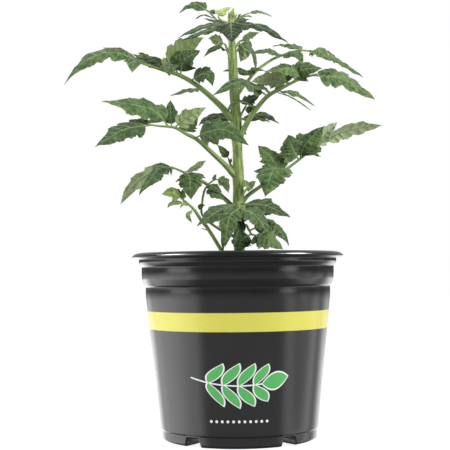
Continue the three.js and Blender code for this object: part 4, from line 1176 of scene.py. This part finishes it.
def make_studio(**pieces):
    """A dim room over a bright floor, brightest on the left, on the right and behind, as the pot's
    reflections show, and darker straight below, where the pot shades it; over the horizon behind, a
    little light from the backdrop. Soft lamps light the pot from both sides and from the front, and the
    plant from both sides, and one above lights both. The camera itself sees white all round."""
    world = bpy.data.worlds.new("studio")
    nodes = Nodes(world)
    nodes.tree.nodes.clear()
    way = nodes.parts(nodes.node("ShaderNodeTexCoord", output="Generated"))
    ahead, up = way.part("Y"), way.part("Z")
    left = way.step(-0.7, -0.8) * 1.7 + way.step(-0.88, -1.0) * 0.8
    right = way.step(0.84, 0.88) * 1.3 - way.step(0.93, 0.97) * 1.1 + way.step(0.97, 1.0) * 1.4
    behind = ahead.step(0.6, 0.8) * (way.step(0.3, -0.3) * 0.6 + 1.4)
    pot_shade = up.step(-0.6, -0.35) * 0.75 + 0.25
    floor_light = (left + right + behind + 0.55) * pot_shade
    backdrop_light = up.step(0.0, 0.1) * ahead.step(0.2, 0.7) * 0.35
    light = up.step(0.0, -0.14) * floor_light + backdrop_light + 0.1
    strength = light.or_more(nodes.node("ShaderNodeLightPath", output="Is Camera Ray"))
    backdrop = nodes.node("ShaderNodeBackground", {"Color": (255, 255, 255), "Strength": strength})
    nodes.node("ShaderNodeOutputWorld", {"Surface": backdrop})
    world.cycles.sampling_method = "NONE"
    bpy.context.scene.world = world
    bpy.context.scene.view_settings.view_transform = "Standard"
    lit = {}
    for name, group in pieces.items():
        lit[name] = bpy.data.collections.new("lit_by_the_" + name)
        for piece in group:
            lit[name].objects.link(piece)
    for name, group, *settings in LAMPS:
        make_softbox(name, lit.get(group), *settings)


def make_camera():
    """The photograph's camera, a little below the pot's lip, turned slightly up and to the left and tilted
    a little to one side."""
    lens = bpy.data.cameras.new("camera")
    lens.lens = CAMERA_LENS
    lens.sensor_width = CAMERA_SENSOR
    camera = put("camera", lens)
    camera.location = CAMERA_PLACE
    camera.rotation_euler = np.radians((90 + CAMERA_PITCH, CAMERA_ROLL, CAMERA_YAW))
    bpy.context.scene.camera = camera


def make_plant():
    """The stem and every leaf and shoot, each with its finishes."""
    down = hair_finish("leaf_hair", (150, 170, 110))
    finishes = {
        "leaf": [
            blade_finish("leaf_upper", (19, 34, 16), (45, 66, 34), (84, 105, 60), (112, 132, 80)),
            underside_finish("leaf_under", (126, 138, 106), (94, 112, 60), (134, 146, 110)),
            stalk_finish("leaf_stalk", (77, 97, 45), (121, 141, 77)),
            down,
        ],
        "young_leaf": [
            blade_finish("young_leaf_upper", (74, 92, 46), (106, 124, 66), (152, 164, 104), (158, 170, 114)),
            underside_finish("young_leaf_under", (144, 162, 92), (124, 144, 74), (156, 172, 108)),
            stalk_finish("young_stalk", (94, 118, 54), (140, 160, 92)),
            down,
        ],
    }
    fronds = [make_frond(number, name, finishes) for number, name in enumerate(FRONDS)]
    stem = make_stem([stalk_finish("stem_skin", (74, 92, 40), (122, 142, 70)),
                      hair_finish("stem_hair", (160, 178, 124))])
    return [stem, *fronds]


make_camera()
make_floor()
pot_shell = make_pot(pot_finish())
potting_mix = make_soil(soil_finish())
make_studio(pot=[pot_shell], plant=[potting_mix, *make_plant()])
